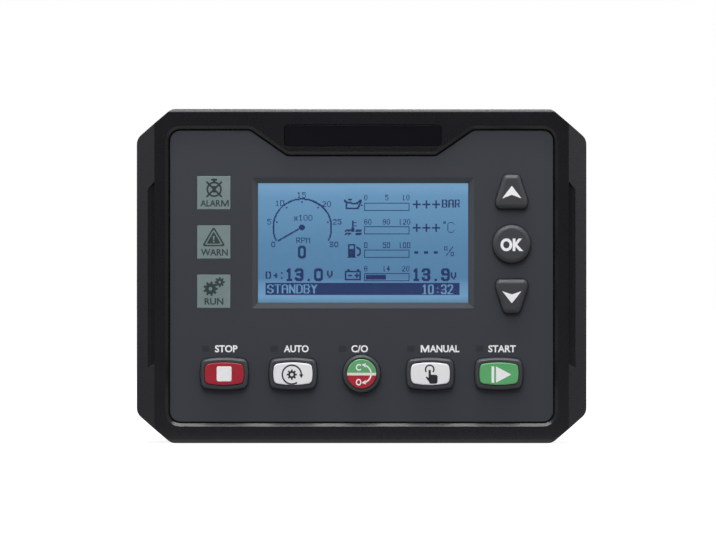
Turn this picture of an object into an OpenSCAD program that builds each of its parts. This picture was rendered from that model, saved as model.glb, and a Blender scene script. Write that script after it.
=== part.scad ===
// Panel-mounted genset controller.
// X runs to the right, Y from the front to the rear and Z up.
// The plane y = 0 is the flange's seat on the panel, and the origin is at the flange's centre.

/* [Bezel] */
// Width of the flange
flange_w = 210; // [204:1:230]
// Height of the flange
flange_h = 156; // [153:1:170]
// Width of each cut corner
corner_w = 16.4; // [8:0.2:17]
// Height of each cut corner
corner_h = 13.9; // [8:0.1:14.5]
// Blend radius at the ends of a cut corner
corner_r = 5.5; // [3:0.5:7]
// Rise of the bezel's flat front above the panel
bezel_rise = 12; // [11.5:0.5:15]
// Rise of the flange's outer edge above the panel
edge_rise = 8.5; // [6:0.5:10]
// Width of the sloped band along each side
slope_w = 8.4; // [5:0.2:9]
// Rounding along the top and bottom edges
edge_r = 1.9; // [0.5:0.1:2.4]
// Length of the finger scoop on each side
scoop_len = 86; // [50:1:100]
// Depth of the finger scoop
scoop_depth = 1.3; // [0.6:0.1:2]
// Slant of the finger scoop's ends: their drop per millimetre outwards
scoop_slant = 0.7; // [0:0.1:1]
// Width of the bevelled lip round the face
lip_w = 1.4; // [0.6:0.1:2]
// Thickness of the ledge that carries the face
ledge_t = 2.4; // [1.6:0.1:3]
// Width of the ledge at each side of the face
ledge_side = 7.3; // [6:0.1:7.8]
// Width of the ledge at the top of the face
ledge_top = 14.9; // [14:0.1:16]
// Width of the ledge at the bottom of the face
ledge_low = 10.9; // [9:0.1:11.5]
// Overhang of the flange beyond the housing at each side
flange_side = 13; // [11:0.5:20]
// Overhang of the flange beyond the housing at the top and the bottom
flange_end = 8.5; // [7.5:0.5:14]

/* [Name plate] */
// Width of the blank name plate
badge_w = 73.2; // [50:0.2:76]
// Height of the blank name plate
badge_h = 10.2; // [8:0.2:11]
// Thickness of the blank name plate
badge_t = 0.8; // [0.5:0.1:1.5]
// Sideways place of the name plate's middle
badge_x = 0.6; // [-1:0.1:1]
// Distance from the flange's top edge to the name plate's middle
badge_from_top = 12.5; // [11.5:0.1:13.5]
// Corner radius of the name plate
badge_r = 1.8; // [0.5:0.1:3]

/* [Face] */
// Distance of the face from the flange's left and right edges
face_side = 15.7; // [14:0.1:18]
// Distance of the face from the flange's top and bottom edges
face_end = 10.1; // [9:0.1:12]
// Corner radius of the face
face_r = 4.7; // [2:0.1:7]
// Thickness of the face
face_t = 2.4; // [1.8:0.1:2.8]
// Distance of the face below the bezel's flat front
face_drop = 1.8; // [1:0.1:2.2]
// Gap between the face and the bezel
face_gap = 0.8; // [0.3:0.1:1]
// Width of the notch at the face's top edge
notch_w = 104.6; // [98:0.2:112]
// Width of the notch at its bottom
notch_low_w = 69.8; // [60:0.2:76]
// Depth of the notch
notch_depth = 12; // [9:0.1:13]
// Corner radius of the notch
notch_r = 3.5; // [1:0.5:4]

/* [Display] */
// Distance of the screen from the face's left and right edges
screen_side = 40.2; // [36:0.2:46]
// Distance of the screen below the face's top edge
screen_top = 24.5; // [22:0.1:27]
// Distance of the screen above the face's bottom edge
screen_low = 55.5; // [50:0.1:64]
// Sideways place of the screen's middle
screen_x = 0.7; // [-1:0.1:1]
// Width of the bevel round the screen
screen_bevel = 2.6; // [1:0.1:3]
// Thickness of the clear window
window_t = 1.2; // [0.8:0.1:1.6]
// Margin of the clear window behind the face
window_margin = 3.6; // [3:0.2:4]
// Margin of the display frame at the screen's sides
frame_side = 4.4; // [4:0.1:5]
// Margin of the display frame above and below the screen
frame_end = 6.6; // [5:0.2:7]
// Sheet thickness of the display frame
frame_t = 0.6; // [0.4:0.1:1]
// Clearance of the glass in the display frame
glass_fit = 0.1; // [0.05:0.05:0.2]
// Thickness of the display glass
glass_t = 2; // [1.4:0.1:2.4]
// Width of the display ribbon
ribbon_w = 34; // [20:1:50]
// Thickness of the display ribbon
ribbon_t = 0.3; // [0.2:0.05:0.5]
// Distance that the ribbon runs before it turns to the board
ribbon_drop = 1.5; // [1:0.1:2]
// Length of the ribbon's foot on the board
ribbon_foot = 3; // [2:0.5:4]
// Clearance round the ribbon
ribbon_fit = 0.1; // [0.05:0.05:0.2]

/* [Lamps] */
// Side of a square lamp lens
lamp_size = 15.8; // [12:0.2:17]
// Vertical pitch of the lamp lenses
lamp_pitch = 23; // [21.5:0.5:24]
// Distance of the lamp lenses' middle from the face's left edge
lamp_side = 20.3; // [19:0.1:22]
// Distance of the middle lamp lens below the face's top edge
lamp_top = 52; // [50:0.1:54]
// Width of a status light window
pipe_w = 3.1; // [2:0.1:4]
// Height of a status light window
pipe_h = 2.3; // [1.5:0.1:3]
// Distance of a status light left of its key's middle
pipe_left = 8.85; // [8:0.05:10]
// Distance of a status light above its key's middle
pipe_up = 11.6; // [11.4:0.1:13]
// Flange round the back of a lens or a status light
lens_flange = 1; // [0.6:0.1:1.2]
// Thickness of that flange
lens_flange_t = 1; // [0.6:0.1:1.2]
// Clearance round a lens or a status light
lens_fit = 0.1; // [0.05:0.05:0.2]
// Gap between a status light and its indicator light
pipe_gap = 0.2; // [0.1:0.1:0.5]

/* [Command keys] */
// Width of a command key
key_w = 22.8; // [21:0.2:24]
// Height of a command key
key_h = 16; // [14:0.2:16.4]
// Distance of the outer command keys' middle from the face's sides
key_side = 25.3; // [22:0.1:27]
// Distance of the command keys' middle above the face's bottom edge
key_up = 22.4; // [21:0.1:24]
// Bulge of a command key's long sides
key_bulge = 1.3; // [0.6:0.1:1.6]
// Bulge of a command key's short sides
key_side_bulge = 0.8; // [0.4:0.1:1]
// Width of a printed key cap
cap_w = 18.8; // [16:0.2:19]
// Height of a printed key cap
cap_h = 11.4; // [9:0.2:11.8]
// Thickness of a key cap
cap_t = 1.2; // [0.8:0.1:1.4]
// Height that a key cap stands above its key
cap_proud = 0.5; // [0.3:0.1:0.8]
// Groove between a key cap and its key
cap_fit = 0.3; // [0.1:0.05:0.5]
// Diameter of the round breaker key
round_key_d = 17.8; // [15:0.2:20]
// Diameter of the round breaker key's cap
round_cap_d = 13.7; // [10:0.1:14]

/* [Navigation keys] */
// Distance of the navigation keys' middle from the face's right edge
nav_side = 19.3; // [18.5:0.1:21]
// Vertical pitch of the navigation keys
nav_pitch = 24.4; // [23:0.2:25]
// Distance of the middle navigation key below the face's top edge
nav_top = 52.9; // [50:0.1:55]
// Diameter of the OK key
ok_d = 18; // [15:0.2:19]
// Width of an arrow key at its base
arrow_base_w = 15.2; // [13:0.2:18]
// Width of an arrow key at its tip
arrow_tip_w = 7.4; // [5:0.2:9]
// Height of an arrow key
arrow_h = 16; // [13:0.2:18]

/* [Key action] */
// Height that a key stands above the face
key_proud = 2.8; // [2.2:0.1:3.5]
// Distance that a key travels
key_travel = 1; // [0.5:0.1:1.2]
// Clearance round a key in the face
key_clearance = 0.2; // [0.2:0.05:0.5]
// Clearance between a key's flange and the face
flange_clearance = 0.1; // [0.05:0.05:0.2]
// Width of the flange that keeps a key behind the face
key_flange = 1.2; // [0.8:0.1:1.4]
// Thickness of a key's flange
key_flange_t = 1.2; // [0.8:0.1:1.4]
// Diameter of a key's stem
stem_d = 5; // [4:0.5:7]
// Side of a key switch
switch_size = 7; // [6:0.5:9]
// Height of a key switch
switch_h = 2.7; // [2.6:0.1:3.2]
// Diameter of a switch plunger
plunger_d = 3.5; // [2.5:0.1:4]
// Height that a plunger stands above its switch
plunger_proud = 1.4; // [1.3:0.1:1.8]
// Length of a plunger inside its switch
plunger_in = 1; // [0.6:0.1:1.2]
// Radial clearance of a plunger
plunger_clearance = 0.12; // [0.08:0.02:0.2]
// Room left under a plunger when its key is pressed
well_room = 0.2; // [0.1:0.1:0.4]

/* [Boards] */
// Thickness of the circuit boards
board_t = 1.6; // [1:0.1:2]
// Room between the boards and the housing's side walls
board_side = 9.5; // [8.5:0.5:14]
// Room between the display board and the housing's top and bottom walls
board_end = 2; // [1:0.5:3]
// Room between the main board and the housing's top and bottom walls
main_end = 5; // [2:0.5:6]
// Distance of the display board's front from the flange's seat
board_set = 0.5; // [0.3:0.1:1]
// Distance of the display board's screws from its side edges
board_screw_side = 20; // [14:1:26]
// Distance of the display board's screws from its top and bottom edges
board_screw_end = 4; // [3.5:0.5:5]
// Distance of the main board's screws from its edges
main_screw_inset = 5; // [4:0.5:6]
// Shank diameter of the board screws
board_screw_d = 2.5; // [2:0.1:3]
// Head diameter of the board screws
board_head_d = 5; // [4.5:0.1:6]
// Head height of the board screws
board_head_h = 1.8; // [1.2:0.1:2.4]
// Length of the board screws under the head
board_screw_len = 6; // [5:0.5:6]
// Diameter of a screw boss
boss_d = 7; // [6:0.5:8]
// Radial clearance round a screw
screw_clearance = 0.1; // [0.05:0.05:0.2]
// Room left beyond a screw's tip
screw_tip_room = 0.4; // [0.2:0.1:0.8]

/* [Parts on the boards] */
// Side of an indicator light
led_size = 3; // [2:0.2:4]
// Height of an indicator light
led_h = 1.2; // [0.8:0.1:1.6]
// Side of the microcontroller
chip_size = 14; // [10:1:20]
// Thickness of the microcontroller
chip_t = 1.4; // [1:0.1:2]
// Distance of the microcontroller's middle from the board's left edge
chip_side = 40; // [20:1:60]
// Number of relays
relay_count = 6; // [2:1:6]
// Length of a relay
relay_l = 19; // [16:0.5:21]
// Width of a relay
relay_w = 15.5; // [12:0.5:17]
// Height of a relay
relay_h = 15; // [12:0.5:17]
// Pitch of the relays
relay_pitch = 18.5; // [17.5:0.5:20]
// Height of the relays' middle
relay_z = 24; // [18:1:28]
// Number of capacitors
cap_can_count = 4; // [2:1:4]
// Diameter of a capacitor
cap_can_d = 10; // [8:0.5:12.5]
// Height of a capacitor
cap_can_h = 16; // [12:0.5:18]
// Pitch of the capacitors
cap_can_pitch = 15; // [14:0.5:18]
// Distance of the first capacitor from the board's left edge
cap_can_side = 20; // [15:0.5:30]
// Distance of the capacitors below the centre
cap_can_low = 40; // [32:1:44]
// Diameter of the clock cell
cell_d = 20; // [16:0.5:23]
// Thickness of the clock cell
cell_t = 3.2; // [2:0.1:4]
// Distance of the clock cell's middle from the board's right edge
cell_side = 30; // [20:1:40]
// Distance of the clock cell below the centre
cell_low = 10; // [0:1:20]
// Wall and floor of the clock cell's holder
holder_wall = 1.2; // [0.8:0.1:2]
// Height of the holder's wall beside the cell
holder_h = 2.2; // [1.5:0.1:3]
// Radial clearance of the clock cell in its holder
holder_fit = 0.2; // [0.1:0.05:0.4]
// Pins in each row of the board link
link_pins = 12; // [6:1:16]
// Pitch of the board link's pins
link_pitch = 2.54; // [2:0.02:3]
// Side of a board link pin
link_pin = 0.7; // [0.5:0.1:1]
// Height of each block of the board link
link_block_h = 8.5; // [6:0.5:10]
// Distance of the board link below the centre
link_low = 15; // [12:1:20]

/* [Housing] */
// Depth of the housing behind the panel
body_depth = 40; // [38:1:50]
// Corner radius of the housing
body_r = 5; // [4:0.5:8]
// Wall thickness of the housing
wall = 2.5; // [2:0.1:3]
// Depth that the housing's rim sits in the bezel
rim_depth = 2; // [1:0.1:3]
// Clearance round the housing's rim
rim_clearance = 0.2; // [0.1:0.05:0.4]
// Distance of the housing screws from the housing's sides
case_screw_inset = 5.7; // [5.2:0.1:6]
// Shank diameter of the housing screws
case_screw_d = 3; // [2.5:0.1:3.5]
// Head diameter of the housing screws
case_head_d = 5.6; // [5:0.1:6]
// Head height of the housing screws
case_head_h = 1.6; // [1.2:0.1:1.8]
// Depth of the housing screws' heads below the rear wall
case_head_sink = 0.2; // [0:0.1:0.4]
// Wall round a housing screw
case_tube_wall = 1; // [0.8:0.1:1.5]
// Height of the bosses that carry the main board
standoff = 10.5; // [9.5:0.5:12]
// Number of vent slots in the top and in the bottom
vent_count = 14; // [4:1:18]
// Pitch of the vent slots
vent_pitch = 8; // [5:0.5:8.5]
// Width of a vent slot
vent_w = 2.4; // [1.5:0.1:3.5]
// Length of a vent slot
vent_len = 16; // [8:1:18]
// Length of a slot for a fixing clip
clip_slot_len = 8; // [6:0.5:12]
// Width of a slot for a fixing clip
clip_slot_w = 3.2; // [2.5:0.1:3.6]
// Distance of the clip slots above and below the centre
clip_slot_z = 36; // [20:1:45]
// Distance of the clip slots behind the panel
clip_slot_y = 14; // [8:0.5:18]

/* [Gasket] */
// Distance of the gasket from the flange's edge
gasket_inset = 1.8; // [1.2:0.1:2]
// Width of the gasket
gasket_w = 2.6; // [2:0.1:2.8]
// Depth of the gasket's groove
gasket_t = 2; // [1.5:0.1:3]

/* [Terminals] */
// Number of power terminals
power_ways = 8; // [4:1:8]
// Number of output terminals
output_ways = 12; // [6:1:12]
// Number of input terminals
input_ways = 12; // [6:1:12]
// Number of sensing terminals
sensing_ways = 7; // [4:1:7]
// Distance of the power terminals' middle from the board's left edge
power_side = 26; // [24:1:30]
// Distance of the output terminals' middle from the board's right edge
output_side = 36; // [34:1:42]
// Distance of the input terminals' middle from the board's left edge
input_side = 36; // [34:1:42]
// Distance of the sensing terminals' middle from the board's right edge
sensing_side = 32; // [30:1:38]
// Distance of the terminal rows above and below the centre
terminal_z = 45; // [42:0.5:46]
// Pitch of the signal terminals
pitch = 5.08; // [4.5:0.02:5.2]
// Pitch of the sensing terminals
wide_pitch = 7.62; // [7:0.02:7.8]
// Width of a terminal header
header_w = 8.6; // [8:0.1:10]
// Wall of a terminal header
header_wall = 1; // [0.7:0.1:1.4]
// Height of a terminal header
header_h = 12.2; // [11.5:0.1:12.5]
// Thickness of a terminal header's floor
header_floor = 2.5; // [2:0.1:3.5]
// Clearance round a terminal header in the housing
header_clearance = 0.3; // [0.2:0.05:0.5]
// Clearance of a terminal plug in its header
plug_clearance = 0.15; // [0.1:0.05:0.3]
// Width of a terminal plug
plug_w = 11; // [10:0.2:12]
// Depth of a terminal plug behind the housing
plug_depth = 9.2; // [8:0.2:11]
// Gap between a terminal plug and the housing, and between its tip and the header's floor
plug_gap = 0.3; // [0.2:0.05:0.5]
// Side of a header pin
pin_size = 1; // [0.6:0.1:1.2]
// Length of a header pin
pin_len = 6.5; // [5:0.1:7]
// Clearance round a header pin in the plug
pin_fit = 0.15; // [0.1:0.05:0.3]
// Width of a wire entry
wire_w = 3.4; // [2.5:0.1:3.6]
// Height of a wire entry
wire_h = 3.8; // [3:0.1:4]
// Depth of a wire entry
wire_depth = 6; // [5:0.1:7]
// Diameter of a wire screw
wire_screw_d = 3.4; // [2.8:0.1:3.6]
// Height of a wire screw
wire_screw_h = 1.8; // [1.4:0.1:2.2]
// Depth of a wire screw below the plug's side
wire_screw_sink = 0.8; // [0.4:0.1:1.2]
// Radial clearance of a wire screw
wire_screw_fit = 0.15; // [0.1:0.05:0.3]
// Width of a driver slot
driver_slot_w = 0.7; // [0.5:0.1:1]
// Depth of a driver slot
driver_slot_t = 0.7; // [0.5:0.1:1]

/* [Data socket] */
// Distance of the data socket's middle from the board's right edge
socket_side = 22; // [12:1:60]
// Width of the data socket
socket_w = 12; // [10:0.2:13]
// Height of the data socket
socket_h = 11; // [9:0.2:12]
// Wall of the data socket
socket_wall = 0.8; // [0.6:0.1:1.2]
// Depth of the data socket's hollow
socket_depth = 9; // [6:0.5:10]
// Depth of the data socket's mouth below the rear wall
socket_sink = 0.4; // [0.2:0.1:1]
// Clearance round the data socket in the housing
socket_fit = 0.3; // [0.2:0.05:0.5]
// Width of the data socket's tongue
tongue_w = 6; // [4:0.2:7]
// Height of the data socket's tongue
tongue_h = 3.4; // [2.8:0.1:4]

/* [Hidden] */

$fn = 48;
eps = 0.01;
arc_steps = 5;

// Depths along Y, from the bezel's front to the housing's rear.
y_front = -bezel_rise;
y_edge = -edge_rise;
y_face = y_front + face_drop;
y_face_back = y_face + face_t;
y_ledge_back = y_face_back + ledge_t;
y_window_back = y_face_back + window_t;
y_glass = y_window_back + frame_t;
y_glass_back = y_glass + glass_t;
y_board = -board_set;
y_board_back = y_board + board_t;
y_rim = -rim_depth;
y_rear = body_depth;
y_rear_in = y_rear - wall;
y_main_back = y_rear_in - standoff;
y_main = y_main_back - board_t;
y_header_top = y_main_back + header_h;
y_header_floor = y_main_back + header_floor;
y_pin_tip = y_header_floor + pin_len;
y_plug = y_rear + plug_gap;
y_plug_back = y_plug + plug_depth;
y_key_flange = y_face_back + flange_clearance;
y_key_back = y_key_flange + key_flange_t;
y_key_top = y_face - key_proud;
y_cap_seat = y_key_top - cap_proud + cap_t;
y_switch = y_board - switch_h;
y_plunger = y_switch - plunger_proud;
y_plunger_end = y_switch + plunger_in;
y_led = y_board - led_h;

// Sizes that follow from others.
face_w = flange_w - 2 * face_side;
face_h = flange_h - 2 * face_end;
face_z = face_h / 2;
body_w = flange_w - 2 * flange_side;
body_h = flange_h - 2 * flange_end;
screen_w = face_w - 2 * screen_side;
screen_h = face_h - screen_top - screen_low;
screen_z = (screen_low - screen_top) / 2;
module_w = screen_w + 2 * frame_side;
module_h = screen_h + 2 * frame_end;
frame_bottom = screen_z - module_h / 2;
glass_w = module_w - 2 * (frame_t + glass_fit);
glass_h = module_h - 2 * (frame_t + glass_fit);
key_z = key_up - face_z;
key_pitch = (face_w / 2 - key_side) / 2;
nav_out = face_w / 2 - nav_side;
nav_z = face_z - nav_top;
lamp_x = lamp_side - face_w / 2;
lamp_z = face_z - lamp_top;
badge_z = flange_h / 2 - badge_from_top;
board_w = body_w - 2 * (wall + board_side);
board_h = body_h - 2 * (wall + board_end);
main_h = body_h - 2 * (wall + main_end);
board_screw_x = board_w / 2 - board_screw_side;
board_screw_z = board_h / 2 - board_screw_end;
main_screw_x = board_w / 2 - main_screw_inset;
main_screw_z = main_h / 2 - main_screw_inset;
case_x = body_w / 2 - case_screw_inset;
case_z = body_h / 2 - case_screw_inset;
case_tube_d = case_head_d + 2 * case_tube_wall;
case_seat = y_rear - case_head_h - case_head_sink;
socket_x = board_w / 2 - socket_side;
socket_top = y_rear - socket_sink;

// The name plate's seat and the hollows behind the flange.
badge_fit = 0.1;
badge_sink = 0.3;
badge_recess = badge_t + badge_sink;
skin = 2.6;
core_w = 5.4;
core_len = 18;
core_pitch = 21;
core_depth = 5.5;
core_wall = 1.2;
boss_root = 0.6;
screw_skin = 1;
y_case_tip = y_ledge_back - screw_skin;

// Places of the keys and the lamps.
key_x = [for (i = [-2:2]) i * key_pitch];
nav_rows = [nav_z + nav_pitch, nav_z, nav_z - nav_pitch];
lamp_rows = [lamp_z + lamp_pitch, lamp_z, lamp_z - lamp_pitch];
switch_places = concat([for (x = key_x) [x, key_z]], [for (z = nav_rows) [nav_out, z]]);
pipe_places = [for (x = key_x) [x - pipe_left, key_z + pipe_up]];
lamp_places = [for (z = lamp_rows) [lamp_x, z]];
corners = [[-1, -1], [1, -1], [1, 1], [-1, 1]];

// Terminal rows: middle along X, side of the centre, number of ways and pitch.
power_row = [power_side - board_w / 2, 1, power_ways, pitch];
output_row = [board_w / 2 - output_side, 1, output_ways, pitch];
input_row = [input_side - board_w / 2, -1, input_ways, pitch];
sensing_row = [board_w / 2 - sensing_side, -1, sensing_ways, wide_pitch];
all_rows = [power_row, output_row, input_row, sensing_row];

function unit(v) = v / norm(v);

// Moves each edge of a counter-clockwise outline inwards by d, or outwards where d is negative.
function inset(pts, d) = [
    for (i = [0:len(pts) - 1])
        let (
            n = len(pts),
            a = unit(pts[i] - pts[(i + n - 1) % n]),
            b = unit(pts[(i + 1) % n] - pts[i]),
            na = [-a[1], a[0]],
            nb = [-b[1], b[0]]
        )
        pts[i] + (na + nb) * d / (1 + na * nb)
];

// The same angle between a half turn back and a half turn on.
function wrapped(angle) = angle > 180 ? angle - 360 : angle < -180 ? angle + 360 : angle;

// The points of an arc that rounds the corner v between its neighbours p and q.
function corner_arc(p, v, q, r) =
    let (
        a = unit(p - v),
        b = unit(q - v),
        half = acos(a * b) / 2,
        mid = v + unit(a + b) * r / sin(half),
        from = v + a * r / tan(half) - mid,
        to = v + b * r / tan(half) - mid,
        start = atan2(from[1], from[0]),
        sweep = wrapped(atan2(to[1], to[0]) - start)
    )
    [for (k = [0:arc_steps]) let (t = start + sweep * k / arc_steps) mid + r * [cos(t), sin(t)]];

// Rounds every corner of an outline with its own radius.
function rounded(pts, radii) = [
    for (i = [0:len(pts) - 1])
        let (n = len(pts))
        each corner_arc(pts[(i + n - 1) % n], pts[i], pts[(i + 1) % n], radii[i])
];

// Radii for an outline moved inwards by d: outer corners tighten and inner corners open.
function inset_radii(pts, radii, d) = [
    for (i = [0:len(pts) - 1])
        let (
            n = len(pts),
            turn = cross(pts[i] - pts[(i + n - 1) % n], pts[(i + 1) % n] - pts[i])
        )
        max(0.3, turn > 0 ? radii[i] - d : radii[i] + d)
];

function rounded_inset(pts, radii, d) = rounded(inset(pts, d), inset_radii(pts, radii, d));

function box_points(w, h) = [for (c = corners) [c[0] * w / 2, c[1] * h / 2]];

function fill(value, count) = [for (i = [1:count]) value];

// The bezel's outline: a rectangle with four cut corners.
function bezel_points() = let (x = flange_w / 2, z = flange_h / 2) [
    [-x + corner_w, -z], [x - corner_w, -z], [x, -z + corner_h], [x, z - corner_h],
    [x - corner_w, z], [-x + corner_w, z], [-x, z - corner_h], [-x, -z + corner_h]
];

function bezel_outline(d) = rounded_inset(bezel_points(), fill(corner_r, 8), d);

// The face's outline: a rectangle with a notch in its top edge.
face_points = let (x = face_w / 2, z = face_z) [
    [-x, -z], [x, -z], [x, z], [notch_w / 2, z], [notch_low_w / 2, z - notch_depth],
    [-notch_low_w / 2, z - notch_depth], [-notch_w / 2, z], [-x, z]
];
face_radii = [face_r, face_r, face_r, notch_r, notch_r, notch_r, notch_r, face_r];

function face_outline(d) = rounded_inset(face_points, face_radii, d);

function body_outline(d) = rounded_inset(box_points(body_w, body_h), fill(body_r, 4), d);

// A command key's outline: four rounded corners between bulging sides.
function barrel_points(w, h) = let (a = w / 2, b = h / 2, c = a - key_side_bulge, d = b - key_bulge) [
    [0, -b], [c, -d], [a, 0], [c, d], [0, b], [-c, d], [-a, 0], [-c, -d]
];
function barrel_radii(r) = [for (i = [0:7]) i % 2 == 1 ? r : i % 4 == 0 ? r * crest_flat : r * side_flat];

// Flatness of the bulging sides: their radii as multiples of the corner radius.
crest_flat = 19;
side_flat = 8;
key_corner_r = 2.8;
cap_corner_r = 2;

function barrel(w, h, r, d) = rounded_inset(barrel_points(w, h), barrel_radii(r), d);

// An arrow key's outline: a trapezoid with a short tip, pointing up or down.
function arrow_points(up) = let (b = arrow_base_w / 2, t = arrow_tip_w / 2, h = arrow_h / 2) up > 0
    ? [[-b, -h], [b, -h], [b, -h / 2], [t, h], [-t, h], [-b, -h / 2]]
    : [[-t, -h], [t, -h], [b, h / 2], [b, h], [-b, h], [-b, h / 2]];
arrow_r = 2.4;

function arrow(up, d) = rounded_inset(arrow_points(up), fill(arrow_r, 6), d);

// Steps from a key's flat top down to its side wall: inset from the wall, and height below the top.
// A command key slopes all the way from its cap, and a navigation key has a wider, flatter shoulder.
key_steps = [[1.3, 0], [0.95, 0.2], [0.6, 0.46], [0.3, 0.8], [0.08, 1.25], [0, 1.85]];
nav_steps = [[2.2, 0], [1.6, 0.14], [1, 0.42], [0.5, 0.82], [0.15, 1.3], [0, 1.85]];
cap_steps = [[0.5, 0], [0.15, 0.1], [0, 0.3]];

function moved(pts, x, z) = [for (p = pts) p + [x, z]];

// Extrudes a front-view outline between two depths.
module slab(front, back) {
    translate([0, back, 0]) rotate([90, 0, 0]) linear_extrude(back - front) children();
}

// A cuboid given by its middle in the front view, its size there and its two depths.
module block(x, z, w, h, front, back) {
    translate([x - w / 2, front, z - h / 2]) cube([w, back - front, h]);
}

// A round bar along Y.
module bar(x, z, d, front, back) {
    translate([x, back, z]) rotate([90, 0, 0]) cylinder(d = d, h = back - front);
}

// A closed solid through outlines with equal point counts, listed from front to back.
module loft(sections) {
    count = len(sections[0][1]);
    last = len(sections) - 1;
    points = [for (s = sections) each [for (p = s[1]) [p[0], s[0], p[1]]]];
    walls = [
        for (k = [0:last - 1], i = [0:count - 1])
            let (j = (i + 1) % count)
            [k * count + i, k * count + j, (k + 1) * count + j, (k + 1) * count + i]
    ];
    front_cap = [for (i = [count - 1:-1:0]) i];
    back_cap = [for (i = [0:count - 1]) last * count + i];
    polyhedron(points, concat(walls, [front_cap, back_cap]));
}

// A closed ring whose cross-section runs through the given outlines in turn.
module ring_loft(sections) {
    count = len(sections[0][1]);
    rows = len(sections);
    points = [for (s = sections) each [for (p = s[1]) [p[0], s[0], p[1]]]];
    walls = [
        for (k = [0:rows - 1], i = [0:count - 1])
            let (j = (i + 1) % count, m = (k + 1) % rows)
            [k * count + i, k * count + j, m * count + j, m * count + i]
    ];
    polyhedron(points, walls);
}

// Width of a screw's cross slot, and the bevel at its tip.
screw_slot_w = 0.7;
screw_point = 0.3;

// A pan-head screw along Y with its head's underside at y = seat.
// The shank runs towards -Y when dir is -1.
module screw(x, z, seat, shank_d, len, head_d, head_h, dir) {
    r = shank_d / 2;
    cross_slot = [head_d * 0.6, screw_slot_w, head_h];
    translate([x, seat, z]) rotate([90 * dir, 0, 0]) difference() {
        rotate_extrude() polygon([
            [0, -len], [r - screw_point, -len], [r, -len + 2 * screw_point], [r, 0],
            [head_d / 2, 0], [head_d / 2, head_h * 0.5], [head_d / 2 - head_h * 0.5, head_h], [0, head_h]
        ]);
        for (a = [0, 90]) rotate([0, 0, a]) translate([0, 0, head_h * 0.9]) cube(cross_slot, center = true);
    }
}

// Bezel and what it carries

module bezel_side_profile() {
    x = flange_w / 2;
    polygon([[-x, 0], [x, 0], [x, y_edge], [x - slope_w, y_front], [-x + slope_w, y_front], [-x, y_edge]]);
}

// The rounding from an end face to the flat front, in steps of 15 degrees.
edge_arc = [for (a = [0:15:90]) edge_r * [1 - sin(a), 1 - cos(a)]];

module bezel_end_profile() {
    z = flange_h / 2;
    upper = [for (p = edge_arc) [y_front + p[0], z - p[1]]];
    lower = [for (i = [len(edge_arc) - 1:-1:0]) [y_front + edge_arc[i][0], edge_arc[i][1] - z]];
    polygon(concat([[0, -z], [0, z]], upper, lower));
}

// The finger scoop's outline at a given half length: its slanted ends drop outwards.
function scoop_outline(side, half) = let (
    inner = flange_w / 2 - slope_w,
    outer = flange_w / 2 + 1,
    middle = inner + scoop_depth * slope_w / (bezel_rise - edge_rise) / 2,
    rise = scoop_slant * (middle - inner),
    drop = scoop_slant * (outer - middle)
) side > 0
    ? [[inner, rise - half], [outer, -drop - half], [outer, half - drop], [inner, half + rise]]
    : [[-outer, -drop - half], [-inner, rise - half], [-inner, half + rise], [-outer, half - drop]];

// The finger scoop's cut: a flat floor with sloped ends, open to the side.
module scoop_cut(side) {
    loft([
        [y_front - 1, scoop_outline(side, scoop_len / 2 + 1)],
        [y_front + scoop_depth, scoop_outline(side, scoop_len / 2 - scoop_depth)]
    ]);
}

module front_bezel() color([0.11, 0.11, 0.12]) {
    difference() {
        union() {
            difference() {
                intersection() {
                    slab(y_front, 0) polygon(bezel_outline(0));
                    translate([0, 0, -flange_h / 2]) linear_extrude(flange_h) bezel_side_profile();
                    translate([-flange_w / 2, 0, 0])
                        rotate([90, 0, 90]) linear_extrude(flange_w) bezel_end_profile();
                }
                for (side = [-1, 1]) scoop_cut(side);
                slab(y_front - 1, y_face_back) polygon(face_outline(-face_gap));
                ring_loft([
                    [y_front - 1, face_outline(-face_gap - lip_w - 1)],
                    [y_front + lip_w, face_outline(-face_gap)],
                    [y_front + lip_w, face_outline(0)],
                    [y_front - 1, face_outline(0)]
                ]);
                ledge_opening();
                slab(y_ledge_back, 1) polygon(body_outline(wall));
                slab(y_rim, 1) polygon(body_outline(-rim_clearance));
                name_plate_core();
                name_plate_recess();
                flange_cores();
                slab(-gasket_t, 1) gasket_ring();
            }
            for (x = [-1, 1], z = [-1, 1]) {
                bar(x * board_screw_x, z * board_screw_z, boss_d, y_face_back + boss_root, y_board);
                bar(x * case_x, z * case_z, case_tube_d, y_face_back + boss_root, y_rim);
            }
        }
        for (x = [-1, 1], z = [-1, 1]) {
            bar(
                x * board_screw_x, z * board_screw_z, board_screw_d + 2 * screw_clearance,
                y_board_back - board_screw_len - screw_tip_room, 1
            );
            bar(x * case_x, z * case_z, case_screw_d + 2 * screw_clearance, y_case_tip - screw_tip_room, 1);
        }
    }
}

// The opening in the ledge, which the display and the keys reach through.
module ledge_opening() {
    low = ledge_low - face_z;
    high = face_z - ledge_top;
    block(0, (low + high) / 2, face_w - 2 * ledge_side, high - low, y_face_back - 1, 1);
}

// The name plate's outline, grown by d.
function badge_outline(d) =
    moved(rounded_inset(box_points(badge_w, badge_h), fill(badge_r, 4), -d), badge_x, badge_z);

module name_plate_recess() slab(y_front - 1, y_front + badge_recess) polygon(badge_outline(badge_fit));

// The hollow behind the notch, which keeps the moulding's front skin even.
module name_plate_core() {
    low = face_z - notch_depth + skin;
    high = body_h / 2 - wall;
    block(0, (low + high) / 2, notch_low_w - 2 * skin, high - low, y_front + badge_recess + skin, 1);
}

// Hollows with ribs between them along the back of each side.
module flange_cores() {
    outer = flange_w / 2 - gasket_inset - gasket_w - core_wall;
    inner = max(outer - core_w, body_w / 2 + rim_clearance + core_wall);
    for (side = [-1, 1], i = [-2:2])
        block(side * (outer + inner) / 2, i * core_pitch, outer - inner, core_len, -core_depth, 1);
}

module gasket_ring() {
    difference() {
        polygon(bezel_outline(gasket_inset));
        polygon(bezel_outline(gasket_inset + gasket_w));
    }
}

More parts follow.
